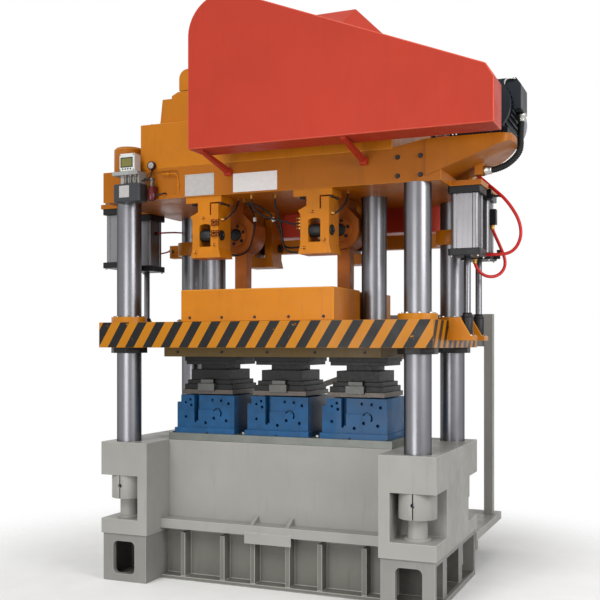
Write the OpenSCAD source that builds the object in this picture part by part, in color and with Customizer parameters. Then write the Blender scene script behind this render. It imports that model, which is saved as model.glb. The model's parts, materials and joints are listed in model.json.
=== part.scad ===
// Roofing tile press with four columns, a geared crown and a sliding platen that carries three tile dies.
// X runs to the right, -Y to the front and Z up. The origin is on the floor in the middle of the columns.

/* [Base] */
// Width of the base across its two end blocks
base_w = 2800; // [2400:10:3400]
// Depth of the end blocks, front to back
base_d = 1350; // [1200:10:1600]
// Height of the table face above the floor
base_top = 1127; // [1000:1:1300]
// Height of the feet under the end blocks
foot_h = 383; // [330:1:430]
// Width of one end block
end_w = 430; // [400:1:500]
// Depth of the beam between the end blocks
beam_d = 650; // [560:10:720]
// Height of a corner pocket
pocket_h = 354; // [300:1:380]

/* [Columns] */
// Diameter of a column
col_d = 200; // [170:1:220]
// Distance from the base's outer side to a column's axis
col_inset_x = 175; // [165:1:200]
// Distance from the base's front to a column's axis
col_inset_y = 145; // [140:1:170]
// Wall of a clamp nut around its column
nut_wall = 40; // [30:1:45]
// Height of a clamp nut
nut_h = 190; // [150:1:220]

/* [Moulds and dies] */
// Clear space between two lower moulds
mould_gap = 120; // [90:1:140]
// Depth of one lower mould, front to back
mould_d = 560; // [480:1:600]
// Height of one lower mould above the bolster plate
mould_h = 313; // [270:1:360]
// Gap between a closed die and its mould
die_gap = 8; // [6:1:12]
// Height of one upper die
die_h = 312; // [280:1:360]

/* [Slide] */
// Reach of the slide plate past the column axes, to each side
slide_over_x = 163; // [150:1:190]
// Reach of the slide plate past the column axes, to the front and back
slide_over_y = 192; // [170:1:220]
// Thickness of the slide plate
slide_t = 203; // [170:1:240]
// Height of the boxes on the slide plate
box_h = 248; // [200:1:300]
// Stroke of the slide, upward from the closed dies
stroke = 240; // [180:1:280]

/* [Crown] */
// Reach of the crown past the column axes, to each side
crown_over_x = 193; // [180:1:230]
// Reach of the crown past the column axes, to the front and back
crown_over_y = 90; // [85:1:120]
// Height of the crown beam
crown_h = 247; // [210:1:290]
// Height of the gear box on the crown beam
gearbox_h = 360; // [300:1:430]

/* [Drive] */
// Depth of the belt guard
guard_d = 260; // [220:1:320]
// Height of the belt guard over the flywheel
guard_h = 1110; // [950:1:1300]
// Clear space between the crown and the belt guard
guard_gap = 240; // [200:1:280]
// Reach of the motor arm past the crown
arm_reach = 493; // [420:1:560]
// Radius of the motor housing over its fins
motor_r = 220; // [200:1:250]
// Length of the motor housing without the fan cover
motor_len = 560; // [480:1:620]
// Height of the rear gear hood from its axis to its flat top
hood_r = 1015; // [860:1:1150]

/* [Air balance] */
// Width of a square balance cylinder barrel
cyl_w = 200; // [180:1:220]
// Distance between the two cylinders on one side
cyl_span_y = 400; // [360:1:460]
// Diameter of a balance piston rod
rod_d = 50; // [40:1:60]
// Diameter of an air hose
hose_d = 25; // [20:1:30]

/* [Rear platform] */
// Depth of the platform behind the base
plat_d = 1090; // [900:10:1300]
// Height of the platform face
plat_z = 350; // [300:1:400]
// Width of a square platform post
post_w = 80; // [70:1:90]
// Height of the posts above the floor
post_top = 2200; // [2000:10:2400]

/* [Hidden] */
$fn = 96;
run = 0.3;
cut = 1;

// Base and columns
base_x = base_w / 2;
base_y = base_d / 2;
col_x = base_x - col_inset_x;
col_y = base_y - col_inset_y;
nut_d = col_d + 2 * nut_wall;
end_in = base_x - end_w;
foot_step = 13.5;
foot_in = end_in + foot_step;
foot_out = base_x - foot_step;
foot_y = base_y - foot_step;
pocket_z = foot_h + 120;
pocket_top = pocket_z + pocket_h;
pocket_in = col_x - nut_d / 2 - 29;
pocket_back = col_y - nut_d / 2 - 33;
nut_floor = 30;

// Moulds, dies and slide
bolster_t = 60;
bolster_top = base_top + bolster_t;
mould_pitch = end_in * 0.67;
mould_w = mould_pitch - mould_gap;
mould_top = bolster_top + mould_h;
die_z = mould_top + die_gap;
die_top = die_z + die_h;
holder_t = 74;
slide_x = col_x + slide_over_x;
slide_y = col_y + slide_over_y;
slide_z = die_top + holder_t;
slide_top = slide_z + slide_t;
box_x = slide_x * 0.461;
box_y = slide_y - 22;
box_top = slide_top + box_h;
box_gap = 220;
plunger_d = col_d;
plunger_x = box_x + 80;
plunger_bore = plunger_d + 12;

// Crown: the hanger forks clear the boxes at the top of the stroke
fork_drop = 483;
crown_x = col_x + crown_over_x;
crown_y = col_y + crown_over_y;
crown_z = box_top + stroke + 15 + fork_drop;
crown_top = crown_z + crown_h;
gearbox_x = crown_x * 0.7475;
gearbox_top = crown_top + gearbox_h;
fork_x = crown_x * 0.326;
fork_t = crown_y * 0.34;
fork_left = -125;
fork_right = 105;
window_left = -62;
window_right = 37;
pin_d = 56;
housing_r = 150;
housing_t = 120;
housing_y = 45;
housing_z = crown_z - 250;
rod_half_x = 55;
rod_half_y = 50;
rod_run = 8;
rod_top = crown_z - 350;
pin_z = crown_z - 307;
pin_y = crown_y - 60;

// Drive
pedestal_x = gearbox_x * 0.472;
shaft_z = gearbox_top + 240;
guard_y0 = -crown_y - guard_gap - guard_d;
guard_y1 = -crown_y - guard_gap;
guard_z0 = crown_top + 10;
guard_left = -crown_x * 0.24;
hood_t = 380;
hood_bevel = 160;
hood_z = shaft_z - 35;
arm_t = 50;
arm_top = crown_top + arm_t;
arm_out = crown_x + arm_reach;
arm_root_low = crown_z + crown_h * 0.3;
arm_tip_low = crown_top + 5;
arm_back = -10;
guard_right = arm_out - 22;
motor_x = arm_out - motor_r - 16;
motor_y = arm_back - 220;
motor_z = arm_top + motor_r;
gland_x = motor_x - 25;
gland_y = motor_y - 40;
gland_z = arm_top - 190;

// Air balance
cap_w = cyl_w + 40;
barrel_dip = 8;
cap_t = 50;
bracket_t = 38;
cyl_x = crown_x + cap_w / 2 - 25;
cyl_y = cyl_span_y / 2;
cyl_top = crown_z;
barrel_h = stroke + 168;
cyl_bottom = cyl_top - 2 * cap_t - barrel_h;
valve_z = cyl_top - 233;
shelf_z = slide_z + slide_t * 0.27;
shelf_t = 36;

// Lubricator, measured from the crown's left end
lube_x = -crown_x + 247;
lube_y = -crown_y;
lube_z = crown_z + crown_h * 0.883;

// Rear platform
plat_t = 70;
plat_y = foot_y + plat_d;
post_x = base_x - post_w;
post_y = plat_y - 175;

orange = [0.78, 0.45, 0.09];
red = [0.78, 0.24, 0.17];
grey = [0.62, 0.63, 0.60];
dark = [0.16, 0.17, 0.18];
steel = [0.45, 0.47, 0.48];
chrome = [0.80, 0.81, 0.83];
blue = [0.10, 0.42, 0.72];
black = [0.05, 0.05, 0.06];
white = [0.86, 0.87, 0.86];
maroon = [0.35, 0.06, 0.08];

// A block given by its low corner and its high corner
module block(low, high) {
    translate(low)
        cube(high - low);
}

// A flat plate with rounded corners, about the origin
module soft_square(w, h, r) {
    offset(r, $fn = 32)
        square([w - 2 * r, h - 2 * r], center = true);
}

// A block with rounded upright edges
module soft_block(low, high, r) {
    translate([(low[0] + high[0]) / 2, (low[1] + high[1]) / 2, low[2]])
        linear_extrude(high[2] - low[2])
            soft_square(high[0] - low[0], high[1] - low[1], r);
}

// Copies its children to both sides of the middle, left and right
module both_sides() {
    for (sx = [-1, 1])
        scale([sx, 1, 1])
            children();
}

// Copies its children to the front and to the back
module both_ends() {
    for (sy = [-1, 1])
        scale([1, sy, 1])
            children();
}

// Copies its children to four places about the middle
module at_corners(x, y) {
    both_sides()
        both_ends()
            translate([x, y, 0])
                children();
}

// A flat outline in X and Z, standing from y0 to y1
module standing(y0, y1) {
    translate([0, y1, 0])
        rotate([90, 0, 0])
            linear_extrude(y1 - y0)
                children();
}

// A flat outline in Y and Z, standing from x0 to x1
module standing_across(x0, x1) {
    translate([x0, 0, 0])
        rotate([90, 0, 90])
            linear_extrude(x1 - x0)
                children();
}

// A round bar along X
module bar_x(x0, x1, d) {
    translate([x0, 0, 0])
        rotate([0, 90, 0])
            cylinder(h = x1 - x0, d = d);
}

// A round bar along Y
module bar_y(y0, y1, d) {
    translate([0, y0, 0])
        rotate([-90, 0, 0])
            cylinder(h = y1 - y0, d = d);
}

// A point on a smooth curve between b and c
function curve_point(a, b, c, d, t) =
    0.5 * (2 * b + (c - a) * t + (2 * a - 5 * b + 4 * c - d) * t * t + (3 * b - a - 3 * c + d) * t * t * t);

// The smooth curve through a hose's route points
function smooth(p, steps) = [
    for (i = [0 : len(p) - 2])
        for (j = [0 : (i == len(p) - 2 ? steps : steps - 1)])
            curve_point(p[max(i - 1, 0)], p[i], p[i + 1], p[min(i + 2, len(p) - 1)], j / steps)
];

function unit(v) = v / norm(v);

// A round tube along a list of points that never runs along Y
module tube_along(p, d, sides) {
    n = len(p);
    rings = [
        for (i = [0 : n - 1])
            let (t = unit(p[min(i + 1, n - 1)] - p[max(i - 1, 0)]))
            let (u = unit(cross([0, 1, 0], t)))
            let (v = cross(t, u))
            for (k = [0 : sides - 1])
                p[i] + d / 2 * (cos(360 * k / sides) * u + sin(360 * k / sides) * v)
    ];
    walls = [
        for (i = [0 : n - 2])
            for (k = [0 : sides - 1])
                let (a = i * sides)
                let (b = (k + 1) % sides)
                [a + k, a + sides + k, a + sides + b, a + b]
    ];
    first = [for (k = [0 : sides - 1]) k];
    last = [for (k = [sides - 1 : -1 : 0]) (n - 1) * sides + k];
    polyhedron(rings, concat(walls, [first, last]), convexity = 6);
}

// The web under the table beam, with its ribs and bottom flanges
module sub_base() {
    rib_t = 40;
    rib_out = 100;
    web_y = beam_d / 2;
    color(grey)
        union() {
            block([-foot_in, -web_y, 0], [foot_in, web_y, foot_h]);
            block([-foot_in, -web_y - rib_out - 15, 0], [foot_in, web_y + rib_out + 15, 28]);
            both_sides()
                for (share = [0.155, 0.433, 0.804])
                    translate([share * end_in, 0, 0])
                        block([-rib_t / 2, -web_y - rib_out, 0], [rib_t / 2, web_y + rib_out, foot_h]);
        }
}

// One foot: a closed inner wall, end plates with rounded windows, flanges and upright ribs
module foot() {
    plate_t = 46;
    flange_t = 40;
    foot_w = foot_out - foot_in;
    color(grey)
        difference() {
            union() {
                block([foot_in, -foot_y, 0], [foot_in + 34, foot_y, foot_h]);
                block([foot_in, -foot_y, 0], [foot_out, foot_y, flange_t]);
                block([foot_in, -foot_y, foot_h - flange_t], [foot_out, foot_y, foot_h]);
                both_ends() {
                    block([foot_in, foot_y - plate_t, 0], [foot_out, foot_y, foot_h]);
                    block([foot_in, foot_y * 0.29, 0], [foot_out - 30, foot_y * 0.47, foot_h]);
                }
            }
            both_ends()
                translate([(foot_in + foot_out) / 2 + 8, 0, foot_h / 2])
                    standing(foot_y - plate_t - cut, foot_y + cut)
                        soft_square(foot_w * 0.5, foot_h - 3 * flange_t, 40);
        }
}

// The two feet
module feet() {
    both_sides()
        foot();
}

// One end block of the base, with a pocket at each outer corner and a column bore over each pocket
module base_end() {
    pocket_r = 45;
    color(grey)
        difference() {
            block([end_in, -base_y, foot_h], [base_x, base_y, base_top]);
            both_ends() {
                soft_block(
                    [pocket_in, pocket_back, pocket_z],
                    [base_x + 100, base_y + 100, pocket_top], pocket_r);
                translate([col_x, col_y, pocket_top - cut])
                    cylinder(h = base_top - pocket_top + 2 * cut, d = col_d + 2 * run);
            }
        }
}

// The beam that carries the table between the end blocks
module base_beam() {
    color(grey)
        block([-end_in, -beam_d / 2, foot_h], [end_in, beam_d / 2, base_top]);
}

// One ledge along the beam, with a lip plate and two gusset lugs at its middle
module ledge() {
    ledge_out = 138;
    ledge_z = foot_h + 33;
    ledge_t = 78;
    lug_t = 26;
    lug_h = 60;
    lip_x = end_in * 0.206;
    y0 = beam_d / 2;
    block([-end_in, y0, ledge_z], [end_in, y0 + ledge_out, ledge_z + ledge_t]);
    block([-lip_x, y0 + ledge_out, ledge_z - 64], [lip_x, y0 + ledge_out + 12, ledge_z + ledge_t * 0.3]);
    both_sides()
        standing_across(lip_x * 0.7, lip_x * 0.7 + lug_t)
            polygon([
                [y0, ledge_z + ledge_t], [y0 + ledge_out - 20, ledge_z + ledge_t],
                [y0, ledge_z + ledge_t + lug_h]
            ]);
}

// The ledges along the front and the back of the beam
module base_ledges() {
    color(grey)
        both_ends()
            ledge();
}

// The working platform behind the press
module rear_platform() {
    color(grey)
        block([-base_x, foot_y, plat_z - plat_t], [base_x, plat_y, plat_z]);
}

// The legs under the platform
module platform_legs() {
    leg_w = 100;
    leg_x = base_x - 250;
    color(grey)
        for (y = [foot_y + 140, plat_y - 140])
            both_sides()
                block(
                    [leg_x - leg_w / 2, y - leg_w / 2, 0],
                    [leg_x + leg_w / 2, y + leg_w / 2, plat_z - plat_t]);
}

// The two posts on the platform, each with a knee plate under the top beam
module rear_posts() {
    knee = 130;
    in_x = post_x - post_w / 2;
    color(grey)
        both_sides()
            union() {
                block(
                    [in_x, post_y - post_w / 2, plat_z],
                    [post_x + post_w / 2, post_y + post_w / 2, post_top]);
                standing(post_y - 8, post_y + 8)
                    polygon([
                        [in_x, post_top - post_w], [in_x - knee, post_top - post_w],
                        [in_x, post_top - post_w - knee]
                    ]);
            }
}

// The top beam, the middle rail and the slanted brace between the posts
module rear_rails() {
    in_x = post_x - post_w / 2;
    rail_h = 70;
    rail_z = post_top * 0.9 - post_w;
    brace_h = 60;
    brace_low = post_top * 0.5636 - post_w;
    brace_y = post_y + 30;
    color(grey)
        union() {
            block([-in_x, post_y - post_w / 2, post_top - post_w], [in_x, post_y + post_w / 2, post_top]);
            block([-in_x, post_y - 30, rail_z], [in_x, post_y + 30, rail_z + rail_h]);
            standing(brace_y, brace_y + 10)
                polygon([
                    [-in_x, brace_low], [in_x, post_top - post_w - brace_h - 6],
                    [in_x, post_top - post_w - 6], [-in_x, brace_low + brace_h]
                ]);
        }
}

// The plate that the lower moulds are bolted to
module bolster_plate() {
    color(steel)
        block([-end_in, -beam_d / 2, base_top], [end_in, beam_d / 2, bolster_top]);
}

// The bolt holes on a mould's front: place across, height above its foot and diameter
mould_holes = [
    [0.11, 0.87, 26], [0.26, 0.86, 26], [0.40, 0.79, 26], [-0.35, 0.42, 26],
    [0.0, 0.27, 28], [0.145, 0.40, 28],
    [0.36, 0.34, 28], [-0.18, 0.31, 24], [-0.27, 0.88, 24], [-0.255, 0.73, 26], [-0.35, 0.80, 22]
];

// One lower mould: a clamping flange, a notched side block, a deep groove, a recessed face and a curved slot
module mould() {
    flange_h = mould_h * 0.137;
    flange_out = 12;
    half = mould_w / 2;
    front = -mould_d / 2;
    groove_l = -half * 0.40;
    groove_r = -half * 0.25;
    z0 = bolster_top;
    color(blue)
        difference() {
            union() {
                block([-half - flange_out, front - 25, z0], [half + flange_out, -front + 25, z0 + flange_h]);
                block([-half, front, z0 + flange_h], [half, -front, mould_top]);
            }
            block(
                [-half - cut, front - cut, z0 + mould_h * 0.81],
                [-half * 0.865, -front + cut, mould_top + cut]);
            block([groove_l, front - cut, z0 + mould_h * 0.32], [groove_r, front + 70, mould_top + cut]);
            standing(front - cut, front + 16)
                union() {
                    translate([groove_r - cut, z0 + mould_h * 0.615])
                        square([half * 0.66, mould_h]);
                    translate([groove_r + half * 0.66 - cut, z0 + mould_h * 0.815])
                        circle(r = mould_h * 0.2, $fn = 64);
                }
            for (hole = mould_holes)
                translate([hole[0] * mould_w, 0, z0 + hole[1] * mould_h])
                    bar_y(front - cut, front + 45, hole[2], $fn = 32);
            translate([half * 0.4, front + 34, z0 + mould_h * 0.527])
                rotate([90, 0, 0])
                    rotate([0, 0, -40])
                        rotate_extrude(angle = 190, $fn = 64)
                            translate([half * 0.115, 0])
                                square([15, 36]);
        }
}

// The four columns, turned and chromed, from their clamp nuts to the crown
module columns() {
    z0 = pocket_top - nut_h + nut_floor;
    color(chrome)
        at_corners(col_x, col_y)
            translate([0, 0, z0])
                cylinder(h = crown_z - z0, d = col_d);
}

// The split clamp nut, jack stub and washer under each column
module column_nuts() {
    stub_d = col_d * 0.72;
    washer_t = 20;
    nut_z = pocket_top - nut_h;
    key_d = 36;
    color(grey)
        at_corners(col_x, col_y)
            difference() {
                union() {
                    translate([0, 0, nut_z])
                        cylinder(h = nut_h, d = nut_d);
                    translate([0, 0, pocket_z])
                        cylinder(h = pocket_h - nut_h, d = stub_d);
                    translate([0, 0, pocket_z])
                        cylinder(h = washer_t, d = stub_d + 50);
                }
                translate([0, 0, nut_z + nut_floor])
                    cylinder(h = nut_h, d = col_d + 2 * run);
                block([-5, col_d / 2 - 10, nut_z - cut], [5, nut_d, pocket_top + cut]);
                translate([0, 0, nut_z + nut_h * 0.55])
                    bar_y(col_d / 2 - 10, nut_d, key_d, $fn = 48);
            }
}

// The crown beam: plunger bores, brackets for the balance cylinders, column caps and a shallow front panel
module crown_beam() {
    cap_d = nut_d - 35;
    cap_h = 200;
    rim = 18;
    panel_x = -crown_x * 0.6;
    color(orange)
        difference() {
            union() {
                block([-crown_x, -crown_y, crown_z], [crown_x, crown_y, crown_top]);
                both_sides()
                    both_ends()
                        block(
                            [crown_x, cyl_y - cap_w / 2 - 10, cyl_top],
                            [cyl_x + cap_w / 2 + 10, cyl_y + cap_w / 2 + 10, cyl_top + bracket_t]);
                for (place = [[-1, -1], [-1, 1], [1, 1]])
                    translate([place[0] * col_x, place[1] * col_y, crown_top]) {
                        cylinder(h = cap_h - rim, d = cap_d);
                        translate([0, 0, cap_h - rim])
                            cylinder(h = rim, d1 = cap_d, d2 = cap_d - 2 * rim);
                    }
            }
            both_sides()
                translate([plunger_x, 0, crown_z - cut])
                    cylinder(h = crown_h + 2 * cut, d = plunger_bore);
            translate([panel_x, 0, crown_z + crown_h / 2])
                standing(-crown_y - cut, -crown_y + 15)
                    soft_square(crown_x * 0.21, crown_h * 0.82, 40);
        }
}

// The gear box on the crown beam, with blind bores over the plungers
module gear_box() {
    color(orange)
        difference() {
            block([-gearbox_x, -crown_y, crown_top], [gearbox_x, crown_y, gearbox_top]);
            both_sides()
                translate([plunger_x, 0, crown_top - cut])
                    cylinder(h = stroke + 30 + cut, d = plunger_bore);
        }
}

// The two bearing pedestals on the gear box, each with a stepped body and a rounded cap split at the shaft
module bearing_pedestals() {
    depth = crown_y - 60;
    split = shaft_z + 20;
    crest = shaft_z + gearbox_h * 0.528;
    cap_r = 75;
    color(orange) {
        translate([pedestal_x * 0.34, 0, shaft_z - gearbox_h * 0.25])
            bar_y(guard_y1, -depth + 20, 100);
        both_sides()
            translate([pedestal_x, 0, 0])
                union() {
                    standing(-depth, depth)
                        polygon([
                            [-414, gearbox_top], [414, gearbox_top], [390, shaft_z - 35], [305, shaft_z - 35],
                            [305, shaft_z - 14], [247, split - 6], [-247, split - 6], [-305, shaft_z - 14],
                            [-305, shaft_z - 35], [-390, shaft_z - 35]
                        ]);
                    standing(-depth + 12, depth - 12)
                        translate([0, split - 3])
                            square([464, 16], center = true);
                    standing(-depth, depth)
                        difference() {
                            translate([-237, split])
                                square([474, crest - split]);
                            for (sx = [-1, 1])
                                scale([sx, 1])
                                    difference() {
                                        translate([237 - cap_r, crest - cap_r])
                                            square(cap_r + cut);
                                        translate([237 - cap_r, crest - cap_r])
                                            circle(r = cap_r);
                                    }
                        }
                }
    }
}

// The height of the motor arm's underside at a place along it
function arm_low(x) = arm_root_low + (x - crown_x) * (arm_tip_low - arm_root_low) / (arm_out - crown_x);

// The tapered arm at the crown's right end, rounded in plan, with a cheek plate, wedge ribs and a cable gland
module motor_arm() {
    end_r = 545;
    tip_r = 60;
    cheek_in = crown_x - 108;
    cheek_out = arm_out - 73;
    root = crown_x - 130;
    color(orange)
        intersection() {
            difference() {
                union() {
                    standing(-crown_y, arm_back)
                        polygon([
                            [crown_x, arm_root_low], [arm_out, arm_tip_low], [arm_out, arm_top],
                            [root, arm_top], [root, crown_top], [crown_x, crown_top]
                        ]);
                    standing(-crown_y - 12, -crown_y)
                        polygon([
                            [cheek_in, arm_low(cheek_in)], [cheek_out, arm_low(cheek_out)],
                            [cheek_out, arm_top], [cheek_in, arm_top]
                        ]);
                    for (y = [-crown_y, -crown_y * 0.5, arm_back - 50])
                        standing(y, y + 50)
                            polygon([
                                [gearbox_x, crown_top], [root + cut, crown_top], [root + cut, arm_top],
                                [gearbox_x, crown_top + 8]
                            ]);
                    standing(gland_y - 40, gland_y + 40)
                        polygon([
                            [gland_x - 60, gland_z - 34], [gland_x, gland_z - 34],
                            [gland_x, arm_low(gland_x) + 5], [gland_x - 60, arm_low(gland_x - 60) + 5]
                        ]);
                }
                translate([cheek_out, -crown_y + tip_r, arm_root_low])
                    difference() {
                        translate([0, -tip_r - cut, 0])
                            cube([tip_r + 40, tip_r + cut, 400]);
                        translate([0, 0, -cut])
                            cylinder(h = 402, r = tip_r);
                    }
            }
            translate([arm_out - end_r, -crown_y + 170, arm_root_low - 200])
                cylinder(h = 600, r = end_r, $fn = 128);
        }
}

// The foot mounted motor, with fins, a fan cover, a terminal box, a shaft into the guard and a lifting eye
module motor() {
    fins = 40;
    core_r = motor_r - 28;
    y0 = motor_y - motor_len / 2;
    cover_len = 150;
    foot_half = 40;
    foot_x = 140;
    box_out = motor_x + motor_r + 50;
    box_low = motor_z - 20;
    box_top = motor_z + 200;
    color(dark) {
        translate([motor_x, 0, motor_z]) {
            bar_y(y0, y0 + motor_len, 2 * core_r);
            bar_y(y0 - 30, y0 + 20, 2 * motor_r - 12);
            bar_y(y0 + motor_len - 10, y0 + motor_len + cover_len, 2 * motor_r - 16);
            bar_y(guard_y1, y0, 80);
            for (k = [0 : fins - 1])
                rotate([0, 360 * k / fins, 0])
                    block([core_r - 10, y0 + 40, -4], [motor_r, y0 + motor_len - 40, 4]);
        }
        standing(motor_y - 210, motor_y + 60)
            polygon([
                [motor_x + core_r * 0.8, box_low], [box_out, box_low], [box_out, box_top - 48],
                [box_out - 34, box_top], [motor_x + core_r * 0.4, box_top]
            ]);
        for (sx = [-1, 1])
            block(
                [motor_x + sx * foot_x - foot_half, y0 + 60, arm_top],
                [motor_x + sx * foot_x + foot_half, y0 + motor_len - 60, motor_z - core_r * 0.75]);
        translate([motor_x, motor_y, motor_z + motor_r + 30])
            rotate([90, 0, 0])
                rotate_extrude($fn = 48)
                    translate([32, 0])
                        circle(d = 18, $fn = 24);
    }
}

// The black conduit from the terminal box round the arm's end to the gland under the arm
module motor_conduit() {
    conduit_d = 48;
    x = motor_x + motor_r + 26;
    y = gland_y;
    z = motor_z - 20;
    low = gland_z;
    route = [
        [x, y, z - 0.5], [x, y, z - 25], [x - 1, y, z - 55], [x - 5, y, arm_top + 90],
        [x - 7, y, arm_top + 30], [x - 6, y, arm_top - 22], [x - 17, y, arm_top - 72],
        [x - 52, y, arm_top - 118], [x - 109, y, low + 30],
        [x - 176, y, low + 6], [gland_x + 50, y, low], [gland_x + 25, y, low], [gland_x + 0.5, y, low]
    ];
    color(black)
        tube_along(smooth(route, 3), conduit_d, 12);
}

// The closed guard over the flywheel and the belts, high on the flywheel side
module belt_guard() {
    top = guard_z0 + guard_h;
    corner_r = guard_h * 0.261;
    color(red)
        standing(guard_y0, guard_y1)
            hull() {
                translate([guard_left + corner_r, top - corner_r])
                    circle(r = corner_r);
                polygon([
                    [guard_left, guard_z0], [guard_right, guard_z0], [guard_right, guard_z0 + 295],
                    [guard_right - 55, guard_z0 + 385], [guard_left + corner_r, top],
                    [guard_left, top - corner_r]
                ]);
            }
}

// The lugged stays from the crown front up to the guard, and the brackets behind the guard
module guard_stays() {
    stay_t = 35;
    stay_h = 45;
    lug_d = 56;
    lug_z = crown_z + 167;
    guard_len = guard_right - guard_left;
    color(red) {
        for (share = [0.04, 0.535])
            translate([guard_left + share * guard_len, 0, 0])
                union() {
                    standing_across(-stay_t / 2, stay_t / 2)
                        polygon([
                            [-crown_y, lug_z - stay_h / 2], [-crown_y, lug_z + stay_h / 2],
                            [guard_y0 + 75, guard_z0], [guard_y0 + 30, guard_z0],
                            [guard_y0 + 30, guard_z0 - 15]
                        ]);
                    translate([0, -crown_y - lug_d / 2, lug_z])
                        bar_x(-stay_t / 2 - 7, stay_t / 2 + 7, lug_d);
                }
        for (share = [0.15, 0.49])
            translate([guard_left + share * guard_len, 0, 0])
                block([0, guard_y1, crown_top + 120], [160, -crown_y, crown_top + 180]);
    }
}

// The flat outline of the rear gear hood, drawn in by an inset above its level bottom
module hood_outline(inset) {
    r = hood_r - inset;
    flat = hood_r * 0.2857 - inset * 0.414;
    side = hood_r * 1.083 - inset;
    translate([0, hood_z])
        polygon([
            [-flat, r], [flat, r], [side, r - side + flat], [side, -hood_r],
            [-side, -hood_r], [-side, r - side + flat]
        ]);
}

// The hood over the gears behind the crown, with a bevelled front rim
module rear_gear_hood() {
    color(red)
        union() {
            standing(crown_y + hood_bevel, crown_y + hood_t)
                hood_outline(0);
            hull() {
                standing(crown_y + hood_bevel - cut, crown_y + hood_bevel)
                    hood_outline(0);
                standing(crown_y, crown_y + cut)
                    hood_outline(hood_bevel);
            }
        }
}

// The outline of one hanger fork: a bolted flange, a neck with a bar beside it, and two legs round a window
module fork_outline() {
    low = -fork_drop;
    splay = 18;
    difference() {
        polygon([
            [-182, 0], [130, 0], [130, -50], [30, -50], [30, -150], [42, -150], [42, -62], [fork_right, -62],
            [fork_right, low + 75], [fork_right + splay, low], [fork_left - splay, low],
            [fork_left, low + 75],
            [fork_left, -190], [fork_left - splay, -155], [-75, -123], [-75, -50], [-182, -50]
        ]);
        translate([window_left, -397])
            square([window_right - window_left, 160]);
        translate([(window_left + window_right) / 2, -237])
            scale([1, 0.4])
                circle(d = window_right - window_left);
    }
}

// The four forks that hang from the crown, bored for their pins
module hanger_forks() {
    color(orange)
        both_ends()
            for (x = [-fork_x, fork_x])
                translate([x, 0, 0])
                    difference() {
                        translate([0, 0, crown_z])
                            standing(crown_y - fork_t - 10, crown_y - 10)
                                fork_outline();
                        translate([0, pin_y, pin_z])
                            bar_x(-fork_t, fork_t, pin_d + 2 * run);
                    }
}

// The dark roller in each fork, on its headed pin
module hanger_rollers() {
    head_t = 14;
    color(dark)
        both_ends()
            for (x = [-fork_x, fork_x])
                translate([x, pin_y, pin_z]) {
                    bar_x(fork_left - head_t, fork_right + head_t, pin_d);
                    bar_x(window_left + 3, window_right - 3, 100);
                    bar_x(fork_left - head_t, fork_left - run, 80);
                    bar_x(fork_right + run, fork_right + head_t, 80);
                }
}

// The pear shaped castings of the cranks: a neck on the crown, a bossed round end, a notch and a rod slot
module crank_housings() {
    neck = 55;
    shoulder = crown_z - housing_r - 20;
    y0 = housing_y - housing_t;
    y1 = housing_y + housing_t;
    color(orange)
        for (x = [-fork_x, fork_x])
            translate([x, 0, 0])
                difference() {
                    union() {
                        translate([0, 0, housing_z]) {
                            bar_y(y0, y1, 2 * housing_r);
                            bar_y(y0 - 25, y1 + 25, 190);
                        }
                        standing(y0, y1)
                            polygon([
                                [-housing_r, housing_z], [housing_r, housing_z], [housing_r, shoulder],
                                [neck, shoulder + 100], [neck, crown_z], [-neck, crown_z],
                                [-neck, shoulder + 100], [-housing_r, shoulder]
                            ]);
                    }
                    block(
                        [
                            -rod_half_x - rod_run, housing_y - rod_half_y - rod_run,
                            housing_z - housing_r - cut
                        ],
                        [rod_half_x + rod_run, housing_y + rod_half_y + rod_run, rod_top + stroke + rod_run]);
                    block([-housing_r - cut, y0 - cut, shoulder - 47], [-rod_half_x, y0 + 30, shoulder + 9]);
                }
}

// The beam behind the rear columns, with a collar round each
module rear_tie_beam() {
    z0 = crown_z - 348;
    h = 120;
    y = col_y + col_d / 2;
    color(orange)
        difference() {
            union() {
                block([-col_x - 300, y - 10, z0], [col_x + 300, y + 80, z0 + h]);
                both_sides()
                    translate([col_x, col_y, z0])
                        cylinder(h = h, d = col_d + 70);
            }
            both_sides()
                translate([col_x, col_y, z0 - cut])
                    cylinder(h = h + 2 * cut, d = col_d + 2 * run);
        }
}

// The drawn section of a balance cylinder: a square with soft corners and a shallow channel down each face
module barrel_profile() {
    channel = cyl_w * 0.6;
    difference() {
        soft_square(cyl_w, cyl_w, 22);
        for (turn = [0 : 90 : 270])
            rotate(turn)
                translate([cyl_w / 2 - barrel_dip, -channel / 2])
                    square([barrel_dip + cut, channel]);
    }
}

// The barrels of the four balance cylinders, bored for their rods
module balance_barrels() {
    color(chrome)
        at_corners(cyl_x, cyl_y)
            difference() {
                translate([0, 0, cyl_bottom + cap_t])
                    linear_extrude(barrel_h)
                        barrel_profile();
                translate([0, 0, cyl_bottom + cap_t - cut])
                    cylinder(h = stroke + 130 + cut, d = rod_d + 12);
            }
}

// The square end caps of the balance cylinders
module balance_caps() {
    half = cap_w / 2;
    color(black)
        at_corners(cyl_x, cyl_y) {
            difference() {
                soft_block([-half, -half, cyl_bottom], [half, half, cyl_bottom + cap_t], 14);
                translate([0, 0, cyl_bottom - cut])
                    cylinder(h = cap_t + 2 * cut, d = rod_d + 2);
            }
            soft_block([-half, -half, cyl_top - cap_t], [half, half, cyl_top], 14);
        }
}

// The air fittings: a pipe between each pair of lower caps and the valve on the rear right barrel
module air_fittings() {
    pipe_d = 46;
    half_pipe = cyl_y - cap_w / 2 - run;
    valve_h = 120;
    color(black) {
        both_sides()
            translate([cyl_x, 0, cyl_bottom + cap_t / 2])
                bar_y(-half_pipe, half_pipe, pipe_d);
        block(
            [cyl_x + cyl_w / 2 - barrel_dip + run, cyl_y - 30, valve_z],
            [cyl_x + cyl_w / 2 + 40, cyl_y + 30, valve_z + valve_h]);
    }
}

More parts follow.
